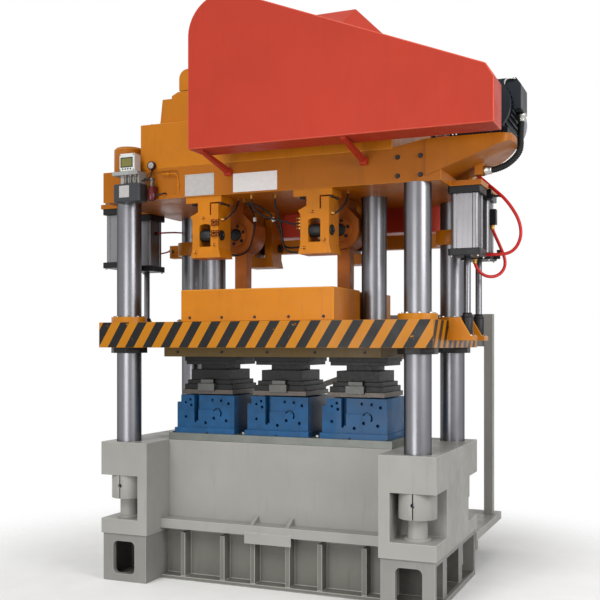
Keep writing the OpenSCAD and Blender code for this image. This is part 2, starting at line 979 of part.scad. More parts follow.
// The control box of the lubricator, on its shelf
module lubricator_box() {
    color(white)
        soft_block([lube_x, lube_y - 140, lube_z], [lube_x + 143, lube_y - 44, lube_z + 140], 10);
}

// The shelf and the pump block of the lubricator
module lubricator_shelf() {
    color(grey)
        union() {
            block([lube_x - 69, lube_y - 140, lube_z - 31], [lube_x + 171, lube_y, lube_z]);
            block([lube_x + 1, lube_y - 120, lube_z - 101], [lube_x + 171, lube_y, lube_z - 31]);
        }
}

// The oil tank of the lubricator
module lubricator_tank() {
    color(dark)
        soft_block([lube_x - 57, lube_y - 140, lube_z - 241], [lube_x + 191, lube_y - 15, lube_z - 101], 16);
}

// The filter bottle and the pressure gauge beside the oil tank
module oil_filter() {
    x = lube_x + 246;
    color(maroon) {
        translate([x, lube_y - 45, lube_z - 231]) {
            cylinder(h = 84, d = 70);
            translate([0, 0, 84])
                cylinder(h = 26, d = 46);
            block([-23, 0, 84], [23, 60, 110]);
        }
        translate([x - 17, lube_y, lube_z + 51])
            bar_y(-34, 0, 64);
    }
}

// The long air hose that leaves the crown's end behind the arm, swings out and comes back to the right pipe
module air_hose_outer() {
    x = cyl_x;
    low = cyl_bottom + cap_t / 2;
    route = [
        [crown_x + 0.5, 30, crown_z + 172], [crown_x + 22, 30, crown_z + 172],
        [crown_x + 47, 30, crown_z + 169], [crown_x + 82, 28, crown_z + 155],
        [crown_x + 127, 25, crown_z + 124], [crown_x + 172, 20, crown_z + 85],
        [crown_x + 216, 15, crown_z + 44], [x + 177, 10, cyl_top - 6], [x + 231, 5, cyl_top - 58],
        [x + 282, 2, cyl_top - 123], [x + 327, 0, cyl_top - 198], [x + 351, 0, cyl_top - 263],
        [x + 359, 0, cyl_top - 326], [x + 351, 0, cyl_top - 378], [x + 329, 0, cyl_top - 426],
        [x + 295, 0, low + 22], [x + 252, 0, low + 4], [x + 207, 0, low], [x + 147, 0, low],
        [x + 87, 0, low], [x + 23.5, 0, low]
    ];
    color(red)
        tube_along(smooth(route, 2), hose_d, 12);
}

// The short air hose from the valve on the rear right cylinder, in a hanging loop, up into the right pipe
module air_hose_inner() {
    x = cyl_x;
    y = cyl_y;
    low = cyl_bottom;
    route = [
        [x + 107, y, valve_z - 0.5], [x + 107, y, valve_z - 12], [x + 109, y, valve_z - 28],
        [x + 119, y, valve_z - 60], [x + 135, y, valve_z - 98], [x + 153, y, valve_z - 138],
        [x + 171, y, valve_z - 180], [x + 188, y - 1, valve_z - 222], [x + 201, y - 3, low + 13],
        [x + 206, y - 5, low - 27], [x + 199, y - 10, low - 67], [x + 177, y - 24, low - 103],
        [x + 145, y - 45, low - 126], [x + 109, y - 69, low - 133], [x + 73, y - 93, low - 126],
        [x + 41, y - 114, low - 105], [x + 17, y - 130, low - 73], [x + 4, y - 138, low - 40],
        [x, y - 140, low - 17], [x, y - 140, low + 1.5]
    ];
    color(red)
        tube_along(smooth(route, 2), hose_d, 12);
}

// The slide plate, bored for the columns, with a bush flange over each bore
module slide_plate() {
    flange_h = 45;
    color(orange)
        difference() {
            union() {
                block([-slide_x, -slide_y, slide_z], [slide_x, slide_y, slide_top]);
                at_corners(col_x, col_y)
                    translate([0, 0, slide_top])
                        cylinder(h = flange_h, d = nut_d + 10);
            }
            at_corners(col_x, col_y)
                translate([0, 0, slide_z - cut])
                    cylinder(h = slide_t + flange_h + 2 * cut, d = col_d + 2 * run);
        }
}

// The front and rear boxes on the slide plate
module slide_boxes() {
    color(orange)
        both_ends()
            block([-box_x, box_gap / 2, slide_top], [box_x, box_y, box_top]);
}

// The holder plate under the slide that the upper dies hang from
module die_holder() {
    half_x = 1.5 * mould_pitch - 45;
    half_y = mould_d / 2 + 190;
    color(steel)
        block([-half_x, -half_y, die_top], [half_x, half_y, slide_z]);
}

// One layer of an upper die: its half width, half depth and the heights it runs between, as shares of the die
module die_layer(half_x, half_y, low, high) {
    block([-half_x, -half_y, die_z + low * die_h], [half_x, half_y, die_z + high * die_h]);
}

// One upper die: a face plate with a front block, a stepped body, a neck and the hanging plates
module upper_die() {
    half = mould_w / 2;
    back = mould_d / 2;
    color(dark)
        union() {
            die_layer(half * 0.887, back - 30, 0, 0.122);
            die_layer(half * 0.83, back - 45, 0.1, 0.263);
            die_layer(half * 0.755, back - 60, 0.2, 0.375);
            die_layer(half * 0.66, back - 80, 0.3, 0.65);
            die_layer(half * 0.415, back - 130, 0.5, 0.85);
            die_layer(half * 0.87, back - 90, 0.782, 0.9);
            die_layer(half * 0.906, back - 80, 0.875, 1);
            die_layer(half * 0.283, back - 5, 0.087, 0.285);
            die_layer(half * 0.22, back - 25, 0.2, 0.39);
        }
}

// The dark eight sided bushes under the slide plate
module guide_bushes() {
    bush_h = 45;
    color(dark)
        at_corners(col_x, col_y)
            difference() {
                translate([0, 0, slide_z - bush_h])
                    rotate([0, 0, 22.5])
                        cylinder(h = bush_h, d = col_d * 1.5, $fn = 8);
                translate([0, 0, slide_z - bush_h - cut])
                    cylinder(h = bush_h + 2 * cut, d = col_d + 2 * run);
            }
}

// The chromed plungers between the slide and the crown
module plungers() {
    color(chrome)
        both_sides()
            translate([plunger_x, 0, slide_top])
                cylinder(h = crown_top - 30 - slide_top, d = plunger_d);
}

// The gusseted shelves at the slide's ends that take the balance rods
module side_brackets() {
    half = 75;
    rib_t = 25;
    shelf_top = shelf_z + shelf_t;
    color(orange)
        both_sides()
            both_ends()
                translate([0, cyl_y, 0]) {
                    block([slide_x, -half, shelf_z], [cyl_x + 60, half, shelf_top]);
                    for (y = [-half, half - rib_t])
                        standing(y, y + rib_t)
                            polygon([
                                [slide_x, shelf_z], [cyl_x + 40, shelf_z], [cyl_x + 40, shelf_top],
                                [slide_x + 89, slide_top + 20], [slide_x, slide_top + 20]
                            ]);
                }
}

// The piston rods of the balance cylinders, with their rod ends on the shelves
module balance_rods() {
    z0 = shelf_z + shelf_t;
    end_h = 135;
    color(steel)
        at_corners(cyl_x, cyl_y)
            translate([0, 0, z0]) {
                cylinder(h = cyl_bottom + 150 - z0, d = rod_d);
                cylinder(h = end_h, d = rod_d + 36);
            }
}

// The connecting rods that rise from the slide plate, between the boxes, into the crank housings
module connecting_rods() {
    foot_h = 70;
    color(orange)
        for (x = [-fork_x, fork_x])
            translate([x, housing_y, 0]) {
                block([-rod_half_x, -rod_half_y, slide_top], [rod_half_x, rod_half_y, rod_top]);
                block(
                    [-rod_half_x - 40, -rod_half_y - 8, slide_top],
                    [rod_half_x + 40, rod_half_y + 8, slide_top + foot_h]);
            }
}

// The three lower moulds on the bolster plate
module moulds() {
    for (place = [-1, 0, 1])
        translate([place * mould_pitch, 0, 0])
            mould();
}

// The three upper dies under the holder plate
module upper_dies() {
    for (place = [-1, 0, 1])
        translate([place * mould_pitch, 0, 0])
            upper_die();
}

sub_base();
feet();
mirror([1, 0, 0]) base_end();  // base_end_left
base_end();  // base_end_right
base_beam();
base_ledges();
rear_platform();
platform_legs();
rear_posts();
rear_rails();
bolster_plate();
moulds();
columns();
column_nuts();
crown_beam();
gear_box();
bearing_pedestals();
motor_arm();
motor();
motor_conduit();
belt_guard();
guard_stays();
rear_gear_hood();
hanger_forks();
hanger_rollers();
crank_housings();
rear_tie_beam();
balance_barrels();
balance_caps();
air_fittings();
lubricator_box();
lubricator_shelf();
lubricator_tank();
oil_filter();
air_hose_outer();
air_hose_inner();
slide_plate();
slide_boxes();
die_holder();
upper_dies();
guide_bushes();
plungers();
connecting_rods();
side_brackets();
balance_rods();
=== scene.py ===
"""Roofing tile press: finishes, fittings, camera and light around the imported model. Units are metres."""
import json
import math
from itertools import product

import bpy
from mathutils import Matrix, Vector


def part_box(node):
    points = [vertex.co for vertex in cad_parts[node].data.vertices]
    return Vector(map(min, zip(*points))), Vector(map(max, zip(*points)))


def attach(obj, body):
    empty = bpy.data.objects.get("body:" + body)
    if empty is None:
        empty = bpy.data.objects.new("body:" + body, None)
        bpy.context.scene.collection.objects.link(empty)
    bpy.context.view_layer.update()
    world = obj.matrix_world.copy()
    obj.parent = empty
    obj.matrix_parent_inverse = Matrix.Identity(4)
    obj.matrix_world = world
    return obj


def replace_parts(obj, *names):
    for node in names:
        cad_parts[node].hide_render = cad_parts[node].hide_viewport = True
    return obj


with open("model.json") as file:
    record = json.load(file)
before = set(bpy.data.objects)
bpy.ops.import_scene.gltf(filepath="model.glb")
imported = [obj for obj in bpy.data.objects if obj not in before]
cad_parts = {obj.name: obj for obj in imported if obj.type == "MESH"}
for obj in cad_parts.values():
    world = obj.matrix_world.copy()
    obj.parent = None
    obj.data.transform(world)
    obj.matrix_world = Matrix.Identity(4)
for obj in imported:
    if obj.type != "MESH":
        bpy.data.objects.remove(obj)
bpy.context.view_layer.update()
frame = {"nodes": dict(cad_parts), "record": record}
nodes = frame["nodes"]
scene = bpy.context.scene
scene.view_settings.view_transform = "Standard"


# Camera: level, at the place that was fitted to the photograph

CAMERA_AT = (3.045, -7.071, 1.921)
CAMERA_TURN = 22.755
SENSOR_MM, LENS_MM, LENS_RISE = 36.0, 55.9, 0.0736


def make_camera():
    data = bpy.data.cameras.new("camera")
    data.sensor_width = SENSOR_MM
    data.lens = LENS_MM
    data.shift_y = LENS_RISE
    camera = bpy.data.objects.new("camera", data)
    camera.location = CAMERA_AT
    camera.rotation_euler = (math.radians(90), 0, math.radians(CAMERA_TURN))
    scene.collection.objects.link(camera)
    scene.camera = camera


make_camera()


# Materials

MIDDLE = (0.3, 0.7)  # where most values of a noise lie


def linear(rgb):
    """A colour as seen on a screen, 0 to 1, in the linear values that shaders use."""
    return tuple(c / 12.92 if c <= 0.04045 else ((c + 0.055) / 1.055) ** 2.4 for c in rgb)


def shade(rgb, k):
    """A screen colour, made k times as bright, for a shader's socket."""
    return tuple(min(1.0, c * k) for c in linear(rgb)) + (1.0,)


class Finish:
    """One material and its nodes."""

    def __init__(self, name, rough=0.4, metal=0.0, coat=0.0, gloss=0.5):
        self.material = bpy.data.materials.new(name)
        self.material.use_nodes = True
        self.tree = self.material.node_tree
        self.shader = self.tree.nodes["Principled BSDF"]
        self.shader.inputs["Roughness"].default_value = rough
        self.shader.inputs["Metallic"].default_value = metal
        self.shader.inputs["Coat Weight"].default_value = coat
        self.shader.inputs["Specular IOR Level"].default_value = gloss
        self.place = self.add("ShaderNodeTexCoord").outputs["Object"]

    def add(self, kind, **settings):
        node = self.tree.nodes.new(kind)
        for key, value in settings.items():
            setattr(node, key, value)
        return node

    def join(self, a, b):
        self.tree.links.new(a, b)

    def stretched(self, scale):
        """The place on the object, scaled by its own number along each axis."""
        node = self.add("ShaderNodeMapping")
        node.inputs["Scale"].default_value = scale
        self.join(self.place, node.inputs["Vector"])
        return node.outputs["Vector"]

    def noise(self, scale, detail=4.0, rough=0.6, vector=None):
        node = self.add("ShaderNodeTexNoise")
        node.inputs["Scale"].default_value = scale
        node.inputs["Detail"].default_value = detail
        node.inputs["Roughness"].default_value = rough
        self.join(vector or self.place, node.inputs["Vector"])
        return node.outputs["Fac"]

    def ramp(self, value, low, high, out_low=0.0, out_high=1.0):
        node = self.add("ShaderNodeMapRange", interpolation_type="SMOOTHSTEP")
        for key, number in (("From Min", low), ("From Max", high), ("To Min", out_low), ("To Max", out_high)):
            node.inputs[key].default_value = number
        self.join(value, node.inputs["Value"])
        return node.outputs["Result"]

    def feed(self, sockets, values):
        """Sets each socket to its number or colour, or joins it to its output."""
        for socket, value in zip(sockets, values):
            if isinstance(value, (int, float, tuple)):
                socket.default_value = value
            else:
                self.join(value, socket)

    def math(self, operation, a, b=0.0):
        node = self.add("ShaderNodeMath", operation=operation)
        self.feed(node.inputs, (a, b))
        return node.outputs[0]

    def mix(self, fac, a, b):
        node = self.add("ShaderNodeMix", data_type="RGBA")
        self.feed([s for s in node.inputs if s.enabled], (fac, a, b))
        return [s for s in node.outputs if s.enabled][0]

    def colour(self, value):
        self.join(value, self.shader.inputs["Base Color"])

    def roughness(self, value):
        self.join(value, self.shader.inputs["Roughness"])

    def bump(self, height, strength, distance):
        node = self.add("ShaderNodeBump")
        node.inputs["Strength"].default_value = strength
        node.inputs["Distance"].default_value = distance
        self.join(height, node.inputs["Height"])
        self.join(node.outputs["Normal"], self.shader.inputs["Normal"])


PAINT_COAT, PAINT_GLOSS = 0.04, 0.22
GRIME_DEPTH = 0.55  # how dark grime is beside the paint under it
GRIME_RUN = (7.0, 7.0, 0.9)


def mottled(finish, rgb, spread, scale, grime=0.0):
    """A colour that varies a little from place to place, with faint runs of grime down upright faces."""
    patches = finish.ramp(finish.noise(scale), *MIDDLE)
    value = finish.mix(patches, shade(rgb, 1 - spread), shade(rgb, 1 + spread))
    if grime:
        runs = finish.noise(2.2, 5.0, 0.65, finish.stretched(GRIME_RUN))
        dirt = shade([c * GRIME_DEPTH for c in rgb], 1.0)
        value = finish.mix(finish.ramp(runs, 0.52, 0.8, 0.0, grime), value, dirt)
    return value


def paint(name, rgb, rough=0.38, spread=0.07, scale=2.5, grime=0.25, coat=PAINT_COAT):
    """Sprayed paint with a slight orange peel."""
    finish = Finish(name, rough, 0.0, coat, PAINT_GLOSS)
    finish.colour(mottled(finish, rgb, spread, scale, grime))
    finish.roughness(finish.ramp(finish.noise(6.0), *MIDDLE, rough - 0.07, rough + 0.1))
    finish.bump(finish.noise(160.0, 2.0), 0.12, 0.0006)
    return finish.material


def casting(name, rgb, rough=0.5):
    """Paint over a rough sand casting."""
    finish = Finish(name, rough, 0.0, 0.0, 0.2)
    finish.colour(mottled(finish, rgb, 0.14, 5.0, 0.45))
    finish.roughness(finish.ramp(finish.noise(9.0), *MIDDLE, rough - 0.1, rough + 0.1))
    finish.bump(finish.noise(55.0, 5.0, 0.7), 0.35, 0.002)
    return finish.material


# How close the tool lines of bare metal lie along x, y and z
MILLED = (3.0, 3.0, 220.0)
GROUND = (5.0, 5.0, 1.0)
DRAWN = (50.0, 50.0, 1.5)
COARSE = (40.0, 40.0, 40.0)
FINE = (60.0, 60.0, 60.0)


def machined(name, rgb, rough, spread, lines, metal=1.0, rim=1.0):
    """Bare metal with fine tool lines and a little oil; rim dims its reflections at a glancing angle."""
    finish = Finish(name, rough, metal)
    finish.shader.inputs["Specular Tint"].default_value = (rim, rim, rim, 1.0)
    finish.colour(mottled(finish, rgb, spread, 6.0))
    fine = finish.noise(1.0, 3.0, 0.6, finish.stretched(lines))
    finish.roughness(finish.ramp(fine, *MIDDLE, max(0.03, rough - 0.05), rough + 0.07))
    finish.bump(fine, 0.03, 0.0002)
    return finish.material


def plastic(name, rgb, rough=0.45, spread=0.04):
    finish = Finish(name, rough, gloss=0.3)
    finish.colour(mottled(finish, rgb, spread, 30.0))
    finish.bump(finish.noise(700.0, 2.0), 0.1, 0.0003)
    return finish.material


BAND_PITCH, BAND_SLANT, BAND_SHIFT = 0.165, 0.62, 40.42
BAND_TOP = 2.0985  # the bands stay below the slide plate's upper edge


def striped(name, rgb, band):
    """Slide paint with slanted warning bands on the upright faces only."""
    finish = Finish(name, 0.4, 0.0, PAINT_COAT, PAINT_GLOSS)
    base = mottled(finish, rgb, 0.07, 2.5, 0.25)
    spot = finish.add("ShaderNodeSeparateXYZ")
    finish.join(finish.place, spot.inputs[0])
    x, y, z = spot.outputs
    along = finish.math("SUBTRACT", finish.math("ADD", x, y), finish.math("MULTIPLY", z, BAND_SLANT))
    wave = finish.math("FRACT", finish.math("ADD", finish.math("DIVIDE", along, BAND_PITCH), BAND_SHIFT))
    on_band = finish.math("LESS_THAN", wave, 0.5)
    facing = finish.add("ShaderNodeSeparateXYZ")
    finish.join(finish.add("ShaderNodeNewGeometry").outputs["True Normal"], facing.inputs[0])
    upright = finish.math("LESS_THAN", finish.math("ABSOLUTE", facing.outputs[2]), 0.5)
    low = finish.math("LESS_THAN", z, BAND_TOP)
    unworn = finish.ramp(finish.noise(14.0, 6.0, 0.7), 0.32, 0.36)
    mask = on_band
    for part in (upright, low, unworn):
        mask = finish.math("MULTIPLY", mask, part)
    finish.colour(finish.mix(mask, base, shade(band, 1.0)))
    finish.roughness(finish.ramp(finish.noise(6.0), *MIDDLE, 0.33, 0.5))
    return finish.material


def glass_face(name, rgb):
    finish = Finish(name, 0.08, 0.0, 0.6)
    finish.colour(mottled(finish, rgb, 0.05, 20.0))
    return finish.material


# The finishes of the record's slots, then those of single pieces, then those of worn edges
look = {
    "grey_paint": paint("grey_paint", (0.575, 0.57, 0.55), rough=0.45, spread=0.05, scale=1.6, grime=0.18),
    "table_steel": machined("table_steel", (0.42, 0.43, 0.41), 0.45, 0.1, MILLED, metal=0.5),
    "blue_paint": paint("blue_paint", (0.08, 0.29, 0.455), rough=0.4, spread=0.16, scale=12.0, grime=0.4,
                        coat=0.08),
    "chrome": machined("chrome", (0.465, 0.465, 0.48), 0.33, 0.04, GROUND, rim=0.3),
    "aluminium": machined("aluminium", (0.50, 0.495, 0.505), 0.34, 0.05, DRAWN, metal=0.8, rim=0.5),
    "orange_paint": paint("orange_paint", (0.75, 0.45, 0.04), rough=0.42, scale=2.2),
    "casting_paint": casting("casting_paint", (0.72, 0.41, 0.15)),
    "motor_paint": paint("motor_paint", (0.095, 0.12, 0.145), rough=0.45, spread=0.08, scale=8.0, grime=0.2),
    "black_rubber": plastic("black_rubber", (0.07, 0.07, 0.08), rough=0.6),
    "red_paint": paint("red_paint", (0.755, 0.245, 0.165), rough=0.5, spread=0.05, scale=1.4, grime=0.12),
    "dark_steel": machined("dark_steel", (0.090, 0.090, 0.090), 0.45, 0.25, COARSE, metal=0.5),
    "black_paint": paint("black_paint", (0.09, 0.09, 0.10), rough=0.42, spread=0.1, scale=9.0, grime=0.2),
    "white_plastic": plastic("white_plastic", (0.86, 0.87, 0.86)),
    "pump_metal": casting("pump_metal", (0.62, 0.62, 0.61)),
    "tank_plastic": plastic("tank_plastic", (0.20, 0.21, 0.22)),
    "filter_plastic": plastic("filter_plastic", (0.34, 0.09, 0.11), rough=0.2),
    "red_hose": plastic("red_hose", (0.80, 0.10, 0.08), rough=0.3),
}
extra = {
    "fork_paint": paint("fork_paint", (0.75, 0.45, 0.03), rough=0.45, spread=0.1, scale=5.0, grime=0.35),
    # A dark brown for the orange die holder: painted shade under the slide.
    "holder_shade_paint": paint("holder_shade_paint", (0.37, 0.30, 0.15), rough=0.45, spread=0.12, scale=6.0, grime=0.4),
    "striped_paint": striped("striped_paint", (0.70, 0.44, 0.02), band=(0.045, 0.04, 0.04)),
    "guard_paint": paint("guard_paint", (0.69, 0.20, 0.12), rough=0.5, spread=0.05, scale=1.4, grime=0.12),
    # A darker copy of the orange paint: painted shade of the guard on the crown's front, shared by the motor
    # arm.
    "shaded_orange_paint": paint("shaded_orange_paint", (0.66, 0.375, 0.02), rough=0.42, scale=2.2),
    "foot_paint": paint("foot_paint", (0.50, 0.495, 0.48), rough=0.48, spread=0.06, scale=2.0),
    # A darker grey for the sub base below the ledge: partly a dusty tone, partly painted shade of the ledge.
    "web_dust_and_shade": paint("web_dust_and_shade", (0.42, 0.415, 0.39), rough=0.5, grime=0.35),
    # A dim grey that paints the shade inside the feet's hollows and on the plates in the left feet.
    "painted_shade_grey": paint("painted_shade_grey", (0.36, 0.355, 0.34), rough=0.6, spread=0.15, scale=5.0, grime=0.5),
    "die_plate": machined("die_plate", (0.34, 0.31, 0.29), 0.42, 0.15, COARSE, metal=0.4),
    "die_block": machined("die_block", (0.36, 0.36, 0.35), 0.45, 0.15, COARSE, metal=0.4),
    "zinc": machined("zinc", (0.70, 0.70, 0.68), 0.32, 0.1, FINE),
    "black_oxide": machined("black_oxide", (0.13, 0.13, 0.14), 0.45, 0.15, FINE, metal=0.5),
    "bare_plate": plastic("bare_plate", (0.95, 0.95, 0.94), rough=0.35, spread=0.03),
    "grey_plate": plastic("grey_plate", (0.71, 0.70, 0.69), rough=0.35, spread=0.05),
    "display": glass_face("display", (0.43, 0.42, 0.07)),
    "dull_zinc": machined("dull_zinc", (0.40, 0.38, 0.36), 0.45, 0.15, FINE),
    "cowl": paint("cowl", (0.46, 0.47, 0.49), rough=0.45, spread=0.05, scale=6.0, grime=0.2),
    "brass": machined("brass", (0.74, 0.56, 0.28), 0.32, 0.1, FINE),
    "copper": machined("copper", (0.50, 0.27, 0.14), 0.34, 0.1, FINE),
}
worn = {
    "grey_paint": paint("grey_edges", (0.62, 0.615, 0.595), rough=0.43, spread=0.05, scale=20.0, grime=0.0),
    "orange_paint": paint("orange_edges", (0.80, 0.52, 0.12), rough=0.42, spread=0.08, scale=20.0, grime=0.0),
    "red_paint": paint("red_edges", (0.80, 0.31, 0.22), rough=0.48, spread=0.06, scale=20.0, grime=0.0),
    "blue_paint": paint("blue_edges", (0.26, 0.45, 0.60), rough=0.4, spread=0.15, scale=30.0, grime=0.0,
                        coat=0.08),
}


# The CAD nodes' finishes

MAIN, EDGE, SECOND, THIRD = range(4)  # the places in a node's list of materials
DIE_Z, DIE_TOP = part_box("upper_dies")[0][2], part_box("upper_dies")[1][2]
DIE_PITCH = 0.65
PLATE_SHARE, BLOCK_SHARE = 0.125, 0.4  # tops of a die's face plate and blocks, as shares of its height
BLOCK_HALF, BLOCK_Y = 0.08, 0.25
ROD_END_TOP = 2.1215
# The hollows inside the feet, where the dimmer grey paints their shade
HOLLOW_X, HOLLOW_Y, HOLLOW_Z = (1.04, 1.33), 0.60, (0.02, 0.36)  # inside the feet
COWL_Y, MOTOR_SHAFT_Y, FLYWHEEL_SHAFT_Y = 0.041, -0.56, -0.57


def die_finish(centre):
    """The face plate is the lowest part of a die, and the blocks stand at its front and back."""
    share = (centre.z - DIE_Z) / (DIE_TOP - DIE_Z)
    across = abs((centre.x + 1.5 * DIE_PITCH) % DIE_PITCH - DIE_PITCH / 2)
    if share < PLATE_SHARE:
        return SECOND
    if across < BLOCK_HALF and abs(centre.y) > BLOCK_Y and share < BLOCK_SHARE:
        return THIRD
    return MAIN


def rod_finish(centre):
    """The balance rods' ends are black."""
    return SECOND if centre.z < ROD_END_TOP else MAIN


def foot_finish(centre):
    """The hollows of the feet get a dimmer grey than their outer walls: painted shade."""
    inside = HOLLOW_X[0] < abs(centre.x) < HOLLOW_X[1] and HOLLOW_Z[0] < centre.z < HOLLOW_Z[1]
    return SECOND if inside and abs(centre.y) < HOLLOW_Y else MAIN


def motor_finish(centre):
    """A light fan cowl at the back and a bare shaft in front of the dark housing."""
    return SECOND if centre.y > COWL_Y else THIRD if centre.y < MOTOR_SHAFT_Y else MAIN


def pedestal_finish(centre):
    """The bare flywheel shaft in front of the pedestal."""
    return SECOND if centre.y < FLYWHEEL_SHAFT_Y else MAIN


own_finish = {
    "slide_plate": "striped_paint", "hanger_forks": "fork_paint", "die_holder": "holder_shade_paint",
    "belt_guard": "guard_paint", "guard_stays": "guard_paint", "crown_beam": "shaded_orange_paint",
    "feet": "foot_paint", "sub_base": "web_dust_and_shade", "motor_arm": "shaded_orange_paint",
}
picked_finish = {
    "upper_dies": (die_finish, ("die_plate", "die_block")),
    "balance_rods": (rod_finish, ("black_oxide",)),
    "feet": (foot_finish, ("painted_shade_grey",)),
    "motor": (motor_finish, ("cowl", "zinc")),
    "bearing_pedestals": (pedestal_finish, ("zinc",)),
}
edge_width = {
    "rear_gear_hood": 0.008, "belt_guard": 0.008, "moulds": 0.0025, "upper_dies": 0.003,
    "base_end_left": 0.007, "base_end_right": 0.007, "crown_beam": 0.006, "gear_box": 0.008,
    "bearing_pedestals": 0.010, "slide_plate": 0.006, "slide_boxes": 0.008, "hanger_forks": 0.008,
    "crank_housings": 0.012, "motor": 0.002, "bolster_plate": 0.003, "die_holder": 0.003,
    "motor_arm": 0.006, "balance_rods": 0.002,
}
PLAIN_EDGE = 0.004
no_bevel = ("columns", "plungers", "air_hose_outer", "air_hose_inner", "motor_conduit")


def add_bevel(obj, width):
    """Rounds an object's sharp edges."""
    bevel = obj.modifiers.new("bevel", "BEVEL")
    bevel.width = width
    bevel.segments = 2
    bevel.limit_method = "ANGLE"
    bevel.angle_limit = math.radians(32)
    return bevel


def dress_nodes():
    """Gives every CAD node its finish, and rounds its sharp edges a little."""
    slots = {s["node"]: s["material_slot"] for s in frame["record"]["subparts"]}
    for name, obj in nodes.items():
        slot = slots[name]
        main = extra[own_finish[name]] if name in own_finish else look[slot]
        pick, others = picked_finish.get(name, (None, ()))
        obj.data.materials.clear()
        obj.data.materials.append(main)
        obj.data.materials.append(worn.get(slot, main) if name != "die_holder" else main)
        for other in others:
            obj.data.materials.append(extra[other])
        for face in obj.data.polygons:
            face.material_index = pick(face.center) if pick else MAIN
        if name in no_bevel:
            continue
        weld = obj.modifiers.new("weld", "WELD")
        weld.merge_threshold = 0.00005
        merge = obj.modifiers.new("merge", "DECIMATE")
        merge.decimate_type = "DISSOLVE"
        merge.angle_limit = math.radians(0.4)
        merge.delimit = {"MATERIAL"}
        bevel = add_bevel(obj, edge_width.get(name, PLAIN_EDGE))
        bevel.material = EDGE if slot in worn else -1
        bevel.harden_normals = True


dress_nodes()


# Building small pieces

UP, DOWN, RIGHT, LEFT, BACK, FRONT = (0, 0, 1), (0, 0, -1), (1, 0, 0), (-1, 0, 0), (0, 1, 0), (0, -1, 0)


def spoke(k, count, start=0.0):
    """The cosine and the sine of step k, where count steps make a full turn."""
    angle = start + 2 * math.pi * k / count
    return math.cos(angle), math.sin(angle)


def turn_to(axis):
    """The rotation that brings z onto an axis."""
    return Vector(UP).rotation_difference(Vector(axis)).to_matrix()


def curve_through(points, steps):
    """The smooth curve that the part's hoses follow through their route points."""
    p = [Vector(q) for q in points]
    out = []
    for i in range(len(p) - 1):
        a, b, c, d = p[max(i - 1, 0)], p[i], p[i + 1], p[min(i + 2, len(p) - 1)]
        for j in range(steps + (i == len(p) - 2)):
            t = j / steps
            out.append(0.5 * (2 * b + (c - a) * t + (2 * a - 5 * b + 4 * c - d) * t * t
                              + (3 * b - a - 3 * c + d) * t ** 3))
    return out


